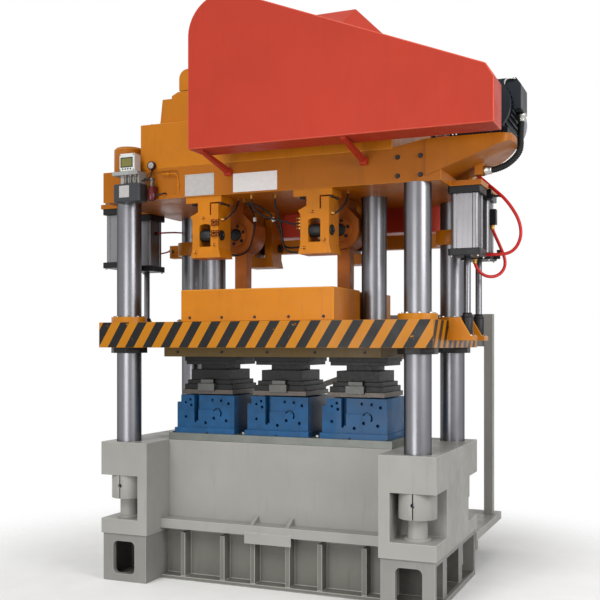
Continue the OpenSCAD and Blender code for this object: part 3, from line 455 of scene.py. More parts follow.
class Kit:
    """Gathers small closed shapes of one finish into one piece."""

    # Profiles of fasteners, as radius and height pairs for a thread diameter of 1
    WASHER = ((1.02, 0), (1.02, 0.16))
    HEXAGON = ((0.9, 0), (0.9, 0.52), (0.76, 0.64))
    SOCKET = ((0.75, 0), (0.75, 0.9), (0.68, 1), (0.42, 1), (0.42, 0.5))

    def __init__(self):
        self.points, self.faces, self.smooth = [], [], []

    def add(self, points, faces, smooth=False):
        start = len(self.points)
        self.points += [tuple(p) for p in points]
        self.faces += [tuple(start + i for i in face) for face in faces]
        self.smooth += [smooth] * len(faces)

    def rings(self, rings, smooth=True):
        """Skins a list of rings with the same number of points, and closes both ends."""
        n = len(rings[0])
        faces = []
        for i in range(len(rings) - 1):
            for k in range(n):
                j = (k + 1) % n
                faces.append((i * n + k, i * n + j, (i + 1) * n + j, (i + 1) * n + k))
        faces.append(tuple(reversed(range(n))))
        faces.append(tuple((len(rings) - 1) * n + k for k in range(n)))
        self.add([p for ring in rings for p in ring], faces, smooth)

    def block(self, low, high):
        (a, b, c), (d, e, f) = low, high
        self.rings([[(x, y, z) for x, y in ((a, b), (d, b), (d, e), (a, e))] for z in (c, f)], False)

    def turned(self, at, axis, profile, sides=24, smooth=True):
        """A turned shape: radius and height pairs along an axis from a foot point."""
        turn, foot = turn_to(axis), Vector(at)
        turns = [spoke(k, sides) for k in range(sides)]
        rings = [[tuple(foot + turn @ Vector((r * c, r * s, h))) for c, s in turns] for r, h in profile]
        self.rings(rings, smooth)

    def bolt(self, at, axis, size):
        """A hexagon head on its washer; size is the thread diameter."""
        self.turned(at, axis, [(r * size, h * size) for r, h in self.WASHER], 20, False)
        head = Vector(at) + Vector(axis).normalized() * size * self.WASHER[-1][1]
        self.turned(head, axis, [(r * size, h * size) for r, h in self.HEXAGON], 6, False)

    def cap_screw(self, at, axis, size):
        """A socket head screw; size is the thread diameter."""
        self.turned(at, axis, [(r * size, h * size) for r, h in self.SOCKET], 18, False)

    def tube(self, path, radii, sides):
        """A round tube along a path, with a radius for each of its points."""
        path = [Vector(p) for p in path]
        last = len(path) - 1
        normal = None
        rings = []
        for i, p in enumerate(path):
            t = (path[min(i + 1, last)] - path[max(i - 1, 0)]).normalized()
            if normal is None:
                normal = t.orthogonal().normalized()
            normal = (normal - t * normal.dot(t)).normalized()
            side = t.cross(normal)
            turns = [spoke(k, sides) for k in range(sides)]
            rings.append([tuple(p + radii[i] * (c * normal + s * side)) for c, s in turns])
        self.rings(rings)

    def pipe(self, route, radius, sides, steps=6):
        """A round tube of one thickness on the smooth curve through a route; gives that curve back."""
        path = curve_through(route, steps)
        self.tube(path, [radius] * len(path), sides)
        return path

    def end_nuts(self, path, profile):
        """A hexagon nut on each end of a pipe."""
        for end, near in ((path[0], path[2]), (path[-1], path[-3])):
            self.turned(end, near - end, profile, 6, False)

    def hoop(self, at, axis, radius, thick, sides=40, round_sides=8):
        """A ring of round wire about an axis."""
        turn = turn_to(axis)
        points, faces = [], []
        for i in range(sides):
            c, s = spoke(i, sides)
            for k in range(round_sides):
                out, up = spoke(k, round_sides)
                r = radius + thick * out
                points.append(Vector(at) + turn @ Vector((r * c, r * s, thick * up)))
                here, there = i * round_sides, (i + 1) % sides * round_sides
                m = (k + 1) % round_sides
                faces.append((here + k, there + k, there + m, here + m))
        self.add(points, faces, True)

    def make(self, name, body, material, slot, bevel=0.0):
        mesh = bpy.data.meshes.new(name)
        mesh.from_pydata(self.points, [], self.faces)
        mesh.polygons.foreach_set("use_smooth", self.smooth)
        mesh.materials.append(material)
        mesh.update()
        obj = bpy.data.objects.new(name, mesh)
        scene.collection.objects.link(obj)
        if bevel:
            add_bevel(obj, bevel)
        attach(obj, body)
        return obj


# Places that the cords and the fittings share

PAIRS = list(product((-1, 1), (-1, 1)))
COL_X, COL_Y = 1.225, 0.53
CROWN_X, CROWN_Z, CROWN_FACE = 1.418, 3.083, -0.62
CYL_X, CYL_Y = 1.513, 0.2
CAP_LOW, PIPE_Z, VALVE_Z = 2.575, 2.600, 2.850
FORK_X, FORK_FACE = 0.4623, 0.61
CRANK_Z = 2.833
ARM_TOP = 3.38
MOTOR_X, MOTOR_Z = 1.675, 3.60
BOX_GLAND, ARM_GLAND = (1.921, -0.27, 3.5795), (1.6505, -0.27, 3.190)
BOLSTER_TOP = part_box("bolster_plate")[1][2]
BOX_FACE, SLIDE_TOP = 0.70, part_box("slide_boxes")[0][2]


# Cords, on the routes of the part's source

HOSE, THIN_PIPE = 0.025, 0.0075  # a diameter and a radius
outer_route = [(CROWN_X + x, y, CROWN_Z + z) for x, y, z in (
    (0.0005, 0.030, 0.172), (0.022, 0.030, 0.172), (0.047, 0.030, 0.169), (0.082, 0.028, 0.155),
    (0.127, 0.025, 0.124), (0.172, 0.020, 0.085), (0.216, 0.015, 0.044))]
outer_route += [(CYL_X + x, y, CROWN_Z + z) for x, y, z in (
    (0.177, 0.010, -0.006), (0.231, 0.005, -0.058), (0.282, 0.002, -0.123), (0.327, 0, -0.198),
    (0.351, 0, -0.263), (0.359, 0, -0.326), (0.351, 0, -0.378), (0.329, 0, -0.426))]
outer_route += [(CYL_X + x, 0, PIPE_Z + z) for x, z in (
    (0.295, 0.022), (0.252, 0.004), (0.207, 0), (0.147, 0), (0.087, 0), (0.0235, 0))]
inner_route = [(CYL_X + x, CYL_Y + y, VALVE_Z + z) for x, y, z in (
    (0.107, 0, -0.0005), (0.107, 0, -0.012), (0.109, 0, -0.028), (0.119, 0, -0.060), (0.135, 0, -0.098),
    (0.153, 0, -0.138), (0.171, 0, -0.180), (0.188, -0.001, -0.222))]
inner_route += [(CYL_X + x, CYL_Y + y, CAP_LOW + z) for x, y, z in (
    (0.201, -0.003, 0.013), (0.206, -0.005, -0.027), (0.199, -0.010, -0.067), (0.177, -0.024, -0.103),
    (0.145, -0.045, -0.126), (0.109, -0.069, -0.133), (0.073, -0.093, -0.126), (0.041, -0.114, -0.105),
    (0.017, -0.130, -0.073), (0.004, -0.138, -0.040), (0, -0.140, -0.017), (0, -0.140, 0.0015))]


def make_hose(name, node, route):
    path = curve_through(route, 10)
    data = bpy.data.curves.new(name, "CURVE")
    data.dimensions = "3D"
    data.bevel_depth = HOSE / 2
    data.bevel_resolution = 4
    data.use_fill_caps = True
    spline = data.splines.new("POLY")
    spline.points.add(len(path) - 1)
    for point, place in zip(spline.points, path):
        point.co = (*place, 1.0)
    spline.use_smooth = True
    data.materials.append(look["red_hose"])
    obj = bpy.data.objects.new(name, data)
    scene.collection.objects.link(obj)
    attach(obj, "frame")
    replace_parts(obj, node)


make_hose("air_hose_long", "air_hose_outer", outer_route)
make_hose("air_hose_short", "air_hose_inner", inner_route)


# The motor's conduit

SLEEVE_STEP = 0.003
SLEEVE_RADII = (0.0240, 0.0240, 0.0222, 0.0208, 0.0222)  # one corrugation
sleeve_route = [BOX_GLAND, *((x, BOX_GLAND[1], z) for x, z in (
    (1.921, 3.555), (1.920, 3.525), (1.916, 3.470), (1.914, 3.410), (1.915, 3.358), (1.904, 3.308),
    (1.869, 3.262), (1.812, 3.220), (1.745, 3.196), (1.700, 3.190), (1.675, 3.190))), ARM_GLAND]


def evenly(points, step):
    """The same path with points an even step apart."""
    out, spare = [points[0]], 0.0
    for a, b in zip(points, points[1:]):
        span = (b - a).length
        at = step - spare
        while at <= span:
            out.append(a + (b - a) * (at / span))
            at += step
        spare = span - (at - step)
    return out


def make_conduit():
    """The corrugated sleeve from the motor's terminal box round the arm."""
    path = evenly(curve_through(sleeve_route, 24), SLEEVE_STEP)
    sleeve = Kit()
    sleeve.tube(path, [SLEEVE_RADII[i % len(SLEEVE_RADII)] for i in range(len(path))], 20)
    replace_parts(sleeve.make("motor_sleeve", "frame", look["black_rubber"], "black_rubber"), "motor_conduit")


make_conduit()


# Fittings

def around(at, radius, count, axis, start):
    """Places on a circle about an axis that runs along z or y."""
    x, y, z = at
    for k in range(count):
        c, s = spoke(k, count, start)
        yield (x + radius * c, y + radius * s, z) if axis == "z" else (x + radius * c, y, z + radius * s)


def table_bits():
    """Bolster plate screws, clamp bolts between the moulds, and dim plates painting shade in the left feet.
    """
    screws, bolts, plates = Kit(), Kit(), Kit()
    for side, x in product((-1, 1), (-0.93, -0.62, -0.325, 0, 0.325, 0.62, 0.93)):
        screws.cap_screw((x, side * 0.315, BOLSTER_TOP), UP, 0.011)
    for x, y in product((-DIE_PITCH / 2, DIE_PITCH / 2), (-0.22, 0, 0.22)):
        bolts.bolt((x, y, BOLSTER_TOP), UP, 0.022)
    # Dim plates just inside the left feet's outer walls: dark sheets that paint shade into the feet.
    foot_x, foot_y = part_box("feet")[0][0], -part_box("feet")[0][1]
    for side in (-1, 1):
        y0, y1 = sorted((side * (foot_y - 0.046), side * foot_y * 0.47))
        plates.block((foot_x + 0.030, y0, 0.040), (foot_x + 0.042, y1, 0.343))
    plates.make("foot_shade_plates", "frame", extra["painted_shade_grey"], "grey_paint")
    screws.make("table_screws", "frame", extra["black_oxide"], "dark_steel")
    bolts.make("mould_bolts", "frame", extra["zinc"], "aluminium")


ROD_NUT = ((0.043, 0), (0.043, 0.012), (0.036, 0.02), (0.034, 0.034), (0.026, 0.036))
BRACKET_TOP, HOLDER_SCREW_Z = 1.985, 1.857


def slide_bits():
    """Bolts of the bush flanges and brackets, the balance rods' nuts, and the boxes' and holder's screws."""
    bolts, dark = Kit(), Kit()
    flange_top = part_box("slide_plate")[1][2]
    for sx, sy in PAIRS:
        for at in around((sx * COL_X, sy * COL_Y, flange_top), 0.1225, 8, "z", math.pi / 8):
            bolts.bolt(at, UP, 0.013)
        for dx, dy in product((-0.04, 0.042), (-0.055, 0.055)):
            bolts.bolt((sx * (CYL_X + dx), sy * (CYL_Y + dy), BRACKET_TOP), UP, 0.009)
        dark.turned((sx * CYL_X, sy * CYL_Y, ROD_END_TOP - 0.0015), UP, ROD_NUT, 28)
    for side in (-1, 1):
        for x in (-0.56, -0.28, 0, 0.28, 0.56):
            dark.bolt((x, side * BOX_FACE, SLIDE_TOP + 0.03), (0, side, 0), 0.011)
        for x in (-0.8, -0.4, 0, 0.4, 0.8):
            dark.cap_screw((x, side * 0.47, HOLDER_SCREW_Z), (0, side, 0), 0.012)
    bolts.make("slide_bolts", "slide", extra["zinc"], "aluminium")
    dark.make("slide_screws", "slide", extra["black_oxide"], "dark_steel")


STUD = ((0.015, 0), (0.015, 0.028), (0.012, 0.031))
RIVET = ((0.005, 0), (0.004, 0.002), (0.002, 0.003))
PEDESTAL_X, PEDESTAL_FOOT, GEAR_BOX_STEP = 0.5, 3.895, 3.69


def crown_bits():
    """Bolts of the arm, the cylinders, the pedestals and the gear box, and the two bare plates in front."""
    dark, plain, white = Kit(), Kit(), Kit()
    for x, z in product((1.10, 1.27), (3.13, 3.265)):
        dark.bolt((x, CROWN_FACE, z), FRONT, 0.018)
    for sx, sy in PAIRS:
        for dx, dy in product((-0.05, 0.094), (-0.094, 0.094)):
            dark.bolt((sx * (CYL_X + dx), sy * (CYL_Y + dy), CROWN_Z + 0.038), UP, 0.014)
        for y, dx in product((0.15, 0.45), (-0.3475, 0.3475)):
            x = sx * PEDESTAL_X + dx
            dark.bolt((x, sy * y, PEDESTAL_FOOT), UP, 0.03)
            dark.turned((x, sy * y, PEDESTAL_FOOT + 0.02), UP, STUD, 16)
        for y in (0.28, 0.55):
            dark.bolt((sx * 0.99, sy * y, GEAR_BOX_STEP), UP, 0.02)
    thick, inset = 0.003, 0.012
    for kit, x0, x1, z0, z1 in ((plain, -0.647, -0.388, 3.09, 3.26), (white, -0.222, 0.151, 3.095, 3.24)):
        kit.block((x0, CROWN_FACE - thick, z0), (x1, CROWN_FACE, z1))
        for x, z in product((x0 + inset, x1 - inset), (z0 + inset, z1 - inset)):
            kit.turned((x, CROWN_FACE - thick, z), FRONT, RIVET, 12)
    dark.make("crown_bolts", "frame", extra["black_oxide"], "dark_steel")
    plain.make("plate_left", "frame", extra["grey_plate"], "pump_metal")
    white.make("plate_right", "frame", extra["bare_plate"], "white_plastic")


NIPPLE = ((0.011, 0), (0.011, 0.008), (0.006, 0.010), (0.006, 0.018), (0.008, 0.022), (0.004, 0.028))
CRANK_COVER = ((0.05, 0), (0.05, 0.008), (0.044, 0.012))


def fork_bits():
    """The hanger forks' bolts and grease nipples, and the covers on the crank castings."""
    bolts, nipples, covers = Kit(), Kit(), Kit()
    for sx, sy in PAIRS:
        for dx, y in product((-0.13, 0.1), (0.45, 0.56)):
            bolts.bolt((sx * FORK_X + dx, sy * y, CROWN_Z - 0.05), DOWN, 0.022)
        for dx, axis in ((-0.139, LEFT), (0.119, RIGHT)):
            bolts.bolt((sx * FORK_X + dx, sy * 0.56, 2.776), axis, 0.016)
        for dx, z in ((-0.025, 2.913), (-0.093, 2.645), (0.07, 2.70)):
            nipples.turned((sx * FORK_X + dx, sy * FORK_FACE, z), (0, sy, 0), NIPPLE, 14)
    for sx, (y, axis) in product((-1, 1), ((-0.1, FRONT), (0.19, BACK))):
        covers.turned((sx * FORK_X, y, CRANK_Z), axis, CRANK_COVER, 32)
        for at in around((sx * FORK_X, y, CRANK_Z), 0.074, 6, "y", 0.3):
            covers.bolt(at, axis, 0.014)
    bolts.make("fork_bolts", "frame", extra["black_oxide"], "dark_steel")
    nipples.make("grease_nipples", "frame", extra["brass"], "pump_metal")
    covers.make("crank_covers", "frame", extra["black_oxide"], "dark_steel")


OIL_NUT = ((0.014, 0), (0.014, 0.014), (0.011, 0.016), (0.011, 0.026))
OIL_UNION = ((0.012, 0), (0.012, 0.02), (0.009, 0.022), (0.009, 0.05), (0.012, 0.052), (0.012, 0.064))
OIL_COLLAR = ((0.012, 0), (0.015, 0.004), (0.015, 0.03), (0.012, 0.034))
OIL_PORT = ((0.011, 0), (0.011, 0.018), (0.007, 0.02), (0.007, 0.04))
fork_feed = ((0.106, -0.56, 2.90), (0.14, -0.55, 2.905), (0.18, -0.50, 2.96), (0.19, -0.44, 3.03),
             (0.19, -0.42, CROWN_Z))
oil_routes = (
    # to the right casting
    [(-0.26, -0.35, CROWN_Z), (-0.25, -0.35, 3.05), (-0.17, -0.34, 3.035), (-0.06, -0.32, 2.97),
     (-0.014, -0.30, 2.90), (0.025, -0.26, 2.80), (0.03, -0.22, 2.72), (0.06, -0.16, 2.70),
     (0.20, -0.11, 2.72), (0.33, -0.0745, 2.78)],
    # to the side of the right fork, twice
    [(-0.12, -0.50, CROWN_Z), (-0.12, -0.50, 3.04), (-0.10, -0.50, 2.98), (0.0, -0.51, 2.91),
     (0.14, -0.52, 2.87), (0.24, -0.52, 2.84), (FORK_X - 0.1255, -0.52, 2.84)],
    [(0.06, -0.45, CROWN_Z), (0.06, -0.45, 3.0), (0.10, -0.44, 2.86), (0.13, -0.44, 2.68),
     (0.19, -0.44, 2.635), (0.28, -0.45, 2.63), (FORK_X - 0.1265, -0.45, 2.64)],
    # to the left casting
    [(x - FORK_X, y, z) for x, y, z in (
        (0.155, -0.20, CROWN_Z), (0.20, -0.20, 3.01), (0.225, -0.20, 2.935), (0.21, -0.19, 2.83),
        (0.16, -0.18, 2.70), (0.06, -0.17, 2.655), (-0.06, -0.16, 2.68), (-0.10, -0.12, 2.72),
        (-0.10, -0.0745, 2.74))],
    # from each fork's inner side up to the crown
    [(x - FORK_X, y, z) for x, y, z in fork_feed],
    [(x + FORK_X, y, z) for x, y, z in fork_feed],
)


def lube_pipes():
    """The thin fixed oil pipes under the crown, from its underside to the forks and the castings."""
    pipes, joints, unions, collars = Kit(), Kit(), Kit(), Kit()
    for route in oil_routes:
        joints.end_nuts(pipes.pipe(route, THIN_PIPE, 10, 8), OIL_NUT)
    for z in (2.885, 2.858, 2.80, 2.773):
        unions.turned((0.052 - FORK_X, -FORK_FACE - 0.012, z), RIGHT, OIL_UNION, 12)
    for at, axis in (((0.225 - FORK_X, -0.20, 2.955), (0.05, 0.0, -1)),
                     ((-0.03, -0.308, 2.93), (0.4, 0.15, -1))):
        collars.turned(at, axis, OIL_COLLAR, 14)
    for z in (2.87, 2.845, 2.82, 2.795):
        joints.turned((FORK_X - 0.126, -0.59, z), LEFT, OIL_PORT, 8)
    pipes.make("lube_pipes", "frame", look["black_rubber"], "black_rubber")
    joints.make("pipe_joints", "frame", extra["brass"], "pump_metal")
    unions.make("pipe_unions", "frame", extra["copper"], "pump_metal")
    collars.make("pipe_collars", "frame", look["white_plastic"], "white_plastic")


FAN_HUB = ((0.035, 0), (0.035, 0.004), (0.03, 0.006))
GLAND = ((0.036, 0), (0.036, 0.02), (0.031, 0.023), (0.031, 0.05), (0.027, 0.058))
THREAD = [(0.011 if k % 2 else 0.0085, k * 0.004) for k in range(36)]
TERMINAL_LID = 3.80
lid_handle = ((1.83, -0.438, 3.752), (1.83, -0.449, 3.757), (1.836, -0.453, 3.775), (1.85, -0.453, 3.789),
              (1.88, -0.453, 3.791), (1.902, -0.449, 3.79), (1.902, -0.438, 3.788))


def motor_bits():
    """The fan grille, the foot clamps, the slide rail with its screw, and the terminal box's fittings."""
    dark, metal, grille = Kit(), Kit(), Kit()
    fan_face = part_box("motor")[1][1]
    for radius in (0.055, 0.09, 0.125, 0.16, 0.195):
        grille.hoop((MOTOR_X, fan_face, MOTOR_Z), BACK, radius, 0.004)
    for c, s in (spoke(k, 8) for k in range(8)):
        bar = [(MOTOR_X + r * c, fan_face, MOTOR_Z + r * s) for r in (0.03, 0.11, 0.20)]
        grille.tube(bar, [0.005] * len(bar), 8)
    grille.turned((MOTOR_X, fan_face, MOTOR_Z), BACK, FAN_HUB)

    clamp_half, clamp_top = 0.035, ARM_TOP + 0.022
    for x0, x1, places in ((1.458, 1.495, (-0.40, -0.06)), (1.855, 1.878, (-0.415, -0.305))):
        for y in places:
            dark.block((x0, y - clamp_half, ARM_TOP), (x1, y + clamp_half, clamp_top))
            metal.bolt(((x0 + x1) / 2, y, clamp_top), UP, 0.016)

    x0, x1, y0, y1 = 1.479, 1.761, -0.612, -0.565
    teeth_low, teeth_high = ARM_TOP + 0.012, ARM_TOP + 0.034
    dark.block((x0, y0, ARM_TOP), (x1, y1, teeth_low))
    dark.block((x0, y0, teeth_high), (x1, y1, ARM_TOP + 0.045))
    for x in (x0 + k * 0.0249 for k in range(12)):
        dark.block((x, y0, teeth_low), (x + 0.008, y1, teeth_high))
    screw_y, screw_z, stop_x = -0.588, ARM_TOP + 0.023, 1.352
    metal.turned((1.335, screw_y, screw_z), RIGHT, THREAD, 14, False)
    metal.bolt((stop_x, screw_y, screw_z), LEFT, 0.02)
    dark.block((stop_x, y0, ARM_TOP), (stop_x + 0.02, -0.564, ARM_TOP + 0.046))

    for at, axis in ((BOX_GLAND, DOWN), (ARM_GLAND, RIGHT)):
        metal.turned(at, axis, GLAND)
    for x, y in product((1.775, 1.885), (-0.415, -0.195)):
        metal.cap_screw((x, y, TERMINAL_LID), UP, 0.008)
    metal.pipe(lid_handle, 0.007, 12)
    dark.make("motor_fixings", "frame", look["black_paint"], "black_paint", 0.002)
    metal.make("motor_metal", "frame", extra["zinc"], "aluminium")
    grille.make("fan_grille", "frame", look["black_paint"], "black_paint")


VALVE_KNOB = ((0.018, 0), (0.018, 0.012), (0.008, 0.014), (0.008, 0.06), (0.0125, 0.062), (0.0125, 0.078),
              (0.009, 0.082))
VALVE_OUTLET = ((0.016, 0), (0.016, 0.02), (0.011, 0.022), (0.011, 0.035))
VALVE_NUT = ((0.015, 0), (0.015, 0.012), (0.011, 0.014), (0.011, 0.022))
ARM_NUT = ((0.02, 0), (0.02, 0.014), (0.015, 0.016), (0.015, 0.03))
HOSE_END = ((0.019, 0), (0.019, 0.012), (0.0155, 0.014), (0.0155, 0.018), (0.0165, 0.02), (0.0165, 0.034),
            (0.0135, 0.036))
COCK_BODY = ((0.02, 0), (0.02, 0.016), (0.014, 0.018), (0.014, 0.04))
COCK_STEM = ((0.012, 0), (0.012, 0.05), (0.016, 0.052), (0.016, 0.07))
PIPE_NUT = ((0.033, 0), (0.033, 0.016), (0.028, 0.02))
TUBE_NUT = ((0.016, 0), (0.016, 0.014), (0.012, 0.016), (0.012, 0.024))
TUBE_COLLAR = ((0.013, 0), (0.014, 0.004), (0.014, 0.022), (0.011, 0.026))
VALVE_Y, VALVE_LOW, VALVE_TOP = 0.051, 3.03, 3.105
COCK_Y = 0.235
red_tubes = (
    [(-1.421, 0.2, 2.92), (-1.40, 0.205, 2.922), (-1.385, 0.26, 2.932), (-1.36, 0.42, 2.952),
     (-1.345, 0.56, 2.963), (-1.30, 0.65, 2.965), (-1.22, 0.662, 2.957), (-1.15, 0.665, 2.935),
     (-1.12, 0.665, 2.90), (-1.12, 0.665, 2.855)],
    [(-1.49, 0.292, 2.75), (-1.487, 0.35, 2.752), (-1.49, 0.48, 2.775), (-1.495, 0.57, 2.797),
     (-1.495, 0.62, 2.80)],
)


def air_bits():
    """The air valve under the arm, the hoses' ends, the cylinders' nuts and screws, the left air tubes."""
    black, brass, red, white, screws = Kit(), Kit(), Kit(), Kit(), Kit()
    black.block((1.56, 0.032, VALVE_LOW), (1.643, 0.07, VALVE_TOP))
    black.turned((1.643, VALVE_Y, 3.05), RIGHT, VALVE_KNOB, 18)
    black.turned((1.575, VALVE_Y, VALVE_LOW), DOWN, VALVE_OUTLET, 16)
    feed_x = 1.497
    under_arm = 3.1571 + 0.36085 * (feed_x - CROWN_X)  # the arm's sloped underside
    off_arm = Vector((0.3394, 0, -0.9406))
    start = Vector((feed_x, -0.04, under_arm))
    brass.turned(start, off_arm, ARM_NUT, 6, False)
    brass.pipe([start, start + off_arm * 0.03, (1.525, -0.03, 3.148), (1.556, 0.02, 3.137),
                (1.585, VALVE_Y, 3.13), (1.595, VALVE_Y, 3.12), (1.596, VALVE_Y, VALVE_TOP)], 0.009, 12)
    for x in (1.596, 1.624):
        brass.turned((x, VALVE_Y, VALVE_TOP), UP, VALVE_NUT, 6, False)
    for at, axis in ((outer_route[0], RIGHT), (outer_route[-1], RIGHT), (inner_route[0], DOWN),
                     (inner_route[-1], DOWN)):
        brass.turned(at, axis, HOSE_END, 18)
    black.turned((CYL_X + 0.12, COCK_Y, PIPE_Z), RIGHT, COCK_BODY, 16)
    black.turned((CYL_X + 0.15, COCK_Y, PIPE_Z - 0.014), UP, COCK_STEM, 16)
    for sx, sy in PAIRS:
        black.turned((sx * CYL_X, sy * 0.0795, PIPE_Z), (0, -sy, 0), PIPE_NUT, 6, False)
    for route in red_tubes:
        black.end_nuts(red.pipe(route, THIN_PIPE, 12, 8), TUBE_NUT)
    white.turned((-1.495, 0.596, 2.80), FRONT, TUBE_COLLAR, 18)
    for (sx, sy), (dx, dy) in product(PAIRS, PAIRS):
        screws.cap_screw((sx * CYL_X + dx * 0.098, sy * CYL_Y + dy * 0.098, CAP_LOW), DOWN, 0.011)
    screws.make("cylinder_screws", "frame", extra["zinc"], "aluminium")
    black.make("air_valve", "frame", look["black_paint"], "black_paint", 0.0015)
    brass.make("air_joints", "frame", extra["brass"], "pump_metal")
    red.make("air_pipes", "frame", look["red_hose"], "red_hose")
    white.make("air_collar", "frame", look["white_plastic"], "white_plastic")


BUTTON = ((0.006, 0), (0.006, 0.003), (0.004, 0.004))
PANEL_SCREW = ((0.005, 0), (0.005, 0.002), (0.003, 0.003))
FILTER_CAP = ((0.023, 0), (0.023, 0.01), (0.019, 0.012), (0.019, 0.05), (0.022, 0.052), (0.022, 0.062),
              (0.016, 0.068))
GAUGE_FACE = ((0.027, 0), (0.027, 0.002))
LINE_FACE = CROWN_FACE - 0.005  # the middle of the oil line that is clipped to the crown's front
pump_tubes = (
    [(-1.0, -0.66, 3.245), (-0.985, -0.66, 3.245), (-0.965, -0.65, 3.25), (-0.95, -0.64, 3.275),
     (-0.942, -0.637, 3.321)],
    [(-1.0, -0.70, 3.225), (-0.985, -0.70, 3.225), (-0.96, -0.69, 3.23), (-0.935, -0.672, 3.24),
     (-0.925, -0.665, 3.246)],
    [(-0.89, -0.665, 3.11), (-0.87, -0.66, 3.112), (-0.845, -0.645, 3.12), (-0.83, -0.63, 3.125),
     (-0.83, -0.606, 3.125)],
)
crown_route = (
    (-0.862, LINE_FACE + 0.006, 3.279), (-0.845, LINE_FACE, 3.2795), (-0.80, LINE_FACE, 3.279),
    (-0.756, LINE_FACE, 3.277), (-0.722, LINE_FACE, 3.267), (-0.708, LINE_FACE, 3.235),
    (-0.7065, LINE_FACE, 3.18), (-0.7065, LINE_FACE, 3.13), (-0.7065, LINE_FACE + 0.006, 3.112))


def lubricator_bits():
    """The lubricator's display, buttons, screws, pumps, gauge and tubes, and the oil line on the crown."""
    (x0, front, z0), (x1, _, z1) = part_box("lubricator_box")
    tank_low, tank_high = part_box("lubricator_tank")
    dark, glass, metal, label, line = Kit(), Kit(), Kit(), Kit(), Kit()
    low, high = z0 + 0.036, z0 + 0.102
    rim, pane = 0.016, 0.022
    glass.block((x0 + pane, front - 0.002, low), (x1 - pane, front, high))
    for a, b, c, d in ((x0 + rim, low - 0.006, x1 - rim, low), (x0 + rim, high, x1 - rim, high + 0.006),
                       (x0 + rim, low, x0 + pane, high), (x1 - pane, low, x1 - rim, high)):
        dark.block((a, front - 0.004, b), (c, front, d))
    for k in range(4):
        dark.turned((x0 + 0.035 + k * 0.024, front, z0 + 0.016), FRONT, BUTTON, 14)
    for x, z in product((x0 + 0.01, x1 - 0.01), (z0 + 0.01, z1 - 0.01)):
        metal.turned((x, front, z), FRONT, PANEL_SCREW, 12)

    pump_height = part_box("lubricator_shelf")[1][2] - 0.031 - tank_high[2]
    pump = ((0.018, 0), (0.018, 0.012), (0.015, 0.014), (0.015, 0.054), (0.018, 0.056), (0.018, pump_height))
    for x in (-1.118, -1.0725, -1.0275):
        metal.turned((x, -0.742, tank_high[2]), UP, pump, 20)
    metal.turned((-0.925, -0.665, 3.18), UP, FILTER_CAP, 20)
    label.block((-1.17, tank_low[1] - 0.0012, 3.092), (-1.078, tank_low[1], 3.186))

    gauge = Vector((-0.942, CROWN_FACE - 0.034, 3.352))
    dark.hoop(gauge, BACK, 0.0295, 0.0045)
    label.turned(gauge, FRONT, GAUGE_FACE, 32)
    hand = [gauge + Vector((-0.004, -0.003, -0.006)), gauge + Vector((0.012, -0.003, 0.014))]
    dark.tube(hand, [0.0016, 0.0008], 6)
    for route in pump_tubes:
        dark.pipe(route, 0.006, 10)

    line.pipe(crown_route, 0.0055, 10)
    clip = 0.009
    for x, z in ((-0.80, 3.279), (-0.7065, 3.18)):
        line.block((x - clip, LINE_FACE - 0.007, z - clip), (x + clip, CROWN_FACE, z + clip))
    line.make("crown_line", "frame", look["orange_paint"], "orange_paint")
    dark.make("lubricator_dark", "frame", look["black_rubber"], "black_rubber")
    glass.make("lubricator_display", "frame", extra["display"], "filter_plastic")
    metal.make("lubricator_metal", "frame", extra["dull_zinc"], "aluminium")
    label.make("lubricator_label", "frame", extra["grey_plate"], "white_plastic")


HOOD_FLAT, HOOD_SHOULDER = 0.29, 4.101  # half the hood's flat top, and the height where its sides begin


def hood_bits():
    """The screws round the back of the gear hood."""
    screws = Kit()
    (x0, _, z0), (x1, back, z1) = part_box("rear_gear_hood")
    corners = [(-HOOD_FLAT, z1), (HOOD_FLAT, z1), (x1, HOOD_SHOULDER), (x1, z0), (x0, z0),
               (x0, HOOD_SHOULDER)]
    middle = Vector((0, (z0 + z1) / 2))
    inset = [Vector(c) + (middle - Vector(c)).normalized() * 0.06 for c in corners]
    for a, b in zip(inset, inset[1:] + inset[:1]):
        count = max(2, round((b - a).length / 0.24))
        for k in range(count):
            p = a + (b - a) * (k / count)
            screws.bolt((p.x, back, p.y), BACK, 0.012)
    screws.make("hood_screws", "frame", extra["zinc"], "aluminium")


for build in (table_bits, slide_bits, crown_bits, fork_bits, lube_pipes, motor_bits, air_bits,
              lubricator_bits, hood_bits):
    build()


# Floor, background and light

FLOOR_HALF, FLOOR_Z = 14, -0.002
FLOOR_FADE = (1.9, 4.2)  # the floor gives way to the white background between these distances
SKY = (0.28, 0.58)  # the light from the horizon and from overhead
SUN_POWER, SUN_SPREAD, SUN_TILT, SUN_TURN = 1.42, 28, 44, -10
LAMP_SIZE = 4.0
lamps = (
    # name, place, aim, watts
    ("fill_right", (7.5, -3.5, 4.2), (0, 0, 1.8), 330.0),
    ("front", (-0.5, -8.5, 1.7), (0, 0, 2.6), 240.0),
)


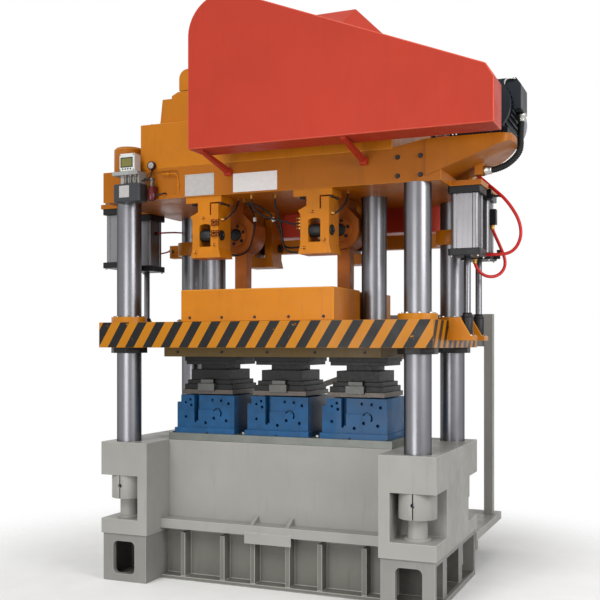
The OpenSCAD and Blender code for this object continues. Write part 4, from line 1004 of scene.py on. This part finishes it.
def make_floor():
    """A pale floor that keeps the shadow near the press and fades out round it."""
    mesh = bpy.data.meshes.new("floor")
    corners = [(x * FLOOR_HALF, y * FLOOR_HALF, 0) for x, y in ((-1, -1), (1, -1), (1, 1), (-1, 1))]
    mesh.from_pydata(corners, [], [(0, 1, 2, 3)])
    floor = bpy.data.objects.new("floor", mesh)
    floor.location.z = FLOOR_Z
    scene.collection.objects.link(floor)
    finish = Finish("floor", 0.85)
    finish.colour(mottled(finish, (0.93, 0.93, 0.925), 0.02, 3.0))
    distance = finish.add("ShaderNodeVectorMath", operation="LENGTH")
    finish.join(finish.place, distance.inputs[0])
    fade = finish.ramp(distance.outputs["Value"], *FLOOR_FADE)
    clear = finish.add("ShaderNodeBsdfTransparent")
    blend = finish.add("ShaderNodeMixShader")
    finish.feed(blend.inputs, (fade, finish.shader.outputs[0], clear.outputs[0]))
    finish.join(blend.outputs[0], finish.tree.nodes["Material Output"].inputs["Surface"])
    mesh.materials.append(finish.material)


def sky_level(tree):
    """The soft light of the surroundings, which grows from the horizon to overhead."""
    place = tree.nodes.new("ShaderNodeTexCoord")
    part = tree.nodes.new("ShaderNodeSeparateXYZ")
    tree.links.new(place.outputs["Generated"], part.inputs[0])
    level = tree.nodes.new("ShaderNodeMapRange")
    for key, value in (("From Min", 0.0), ("From Max", 1.0), ("To Min", SKY[0]), ("To Max", SKY[1])):
        level.inputs[key].default_value = value
    tree.links.new(part.outputs[2], level.inputs["Value"])
    return level.outputs["Result"]


def make_world():
    """White where the camera or a reflection sees it, and the sky's light elsewhere."""
    world = bpy.data.worlds.new("studio")
    scene.world = world
    world.use_nodes = True
    tree = world.node_tree
    back = tree.nodes["Background"]
    path = tree.nodes.new("ShaderNodeLightPath")
    seen = path.outputs["Is Camera Ray"]
    for ray in ("Is Glossy Ray", "Is Transmission Ray"):
        either = tree.nodes.new("ShaderNodeMath")
        either.operation = "MAXIMUM"
        tree.links.new(seen, either.inputs[0])
        tree.links.new(path.outputs[ray], either.inputs[1])
        seen = either.outputs[0]
    strength = tree.nodes.new("ShaderNodeMapRange")
    strength.inputs["To Max"].default_value = 1.0
    tree.links.new(seen, strength.inputs["Value"])
    tree.links.new(sky_level(tree), strength.inputs["To Min"])
    tree.links.new(strength.outputs["Result"], back.inputs["Strength"])
    back.inputs["Color"].default_value = (1.0, 1.0, 1.0, 1.0)


def make_lights():
    sun = bpy.data.lights.new("key", "SUN")
    sun.energy = SUN_POWER
    sun.angle = math.radians(SUN_SPREAD)
    key = bpy.data.objects.new("key", sun)
    key.rotation_euler = (math.radians(SUN_TILT), 0, math.radians(SUN_TURN))
    scene.collection.objects.link(key)
    for name, place, aim, watts in lamps:
        lamp = bpy.data.lights.new(name, "AREA")
        lamp.energy = watts
        lamp.size = LAMP_SIZE
        obj = bpy.data.objects.new(name, lamp)
        obj.location = place
        obj.rotation_euler = (Vector(aim) - Vector(place)).to_track_quat("-Z", "Y").to_euler()
        scene.collection.objects.link(obj)


make_floor()
make_world()
make_lights()
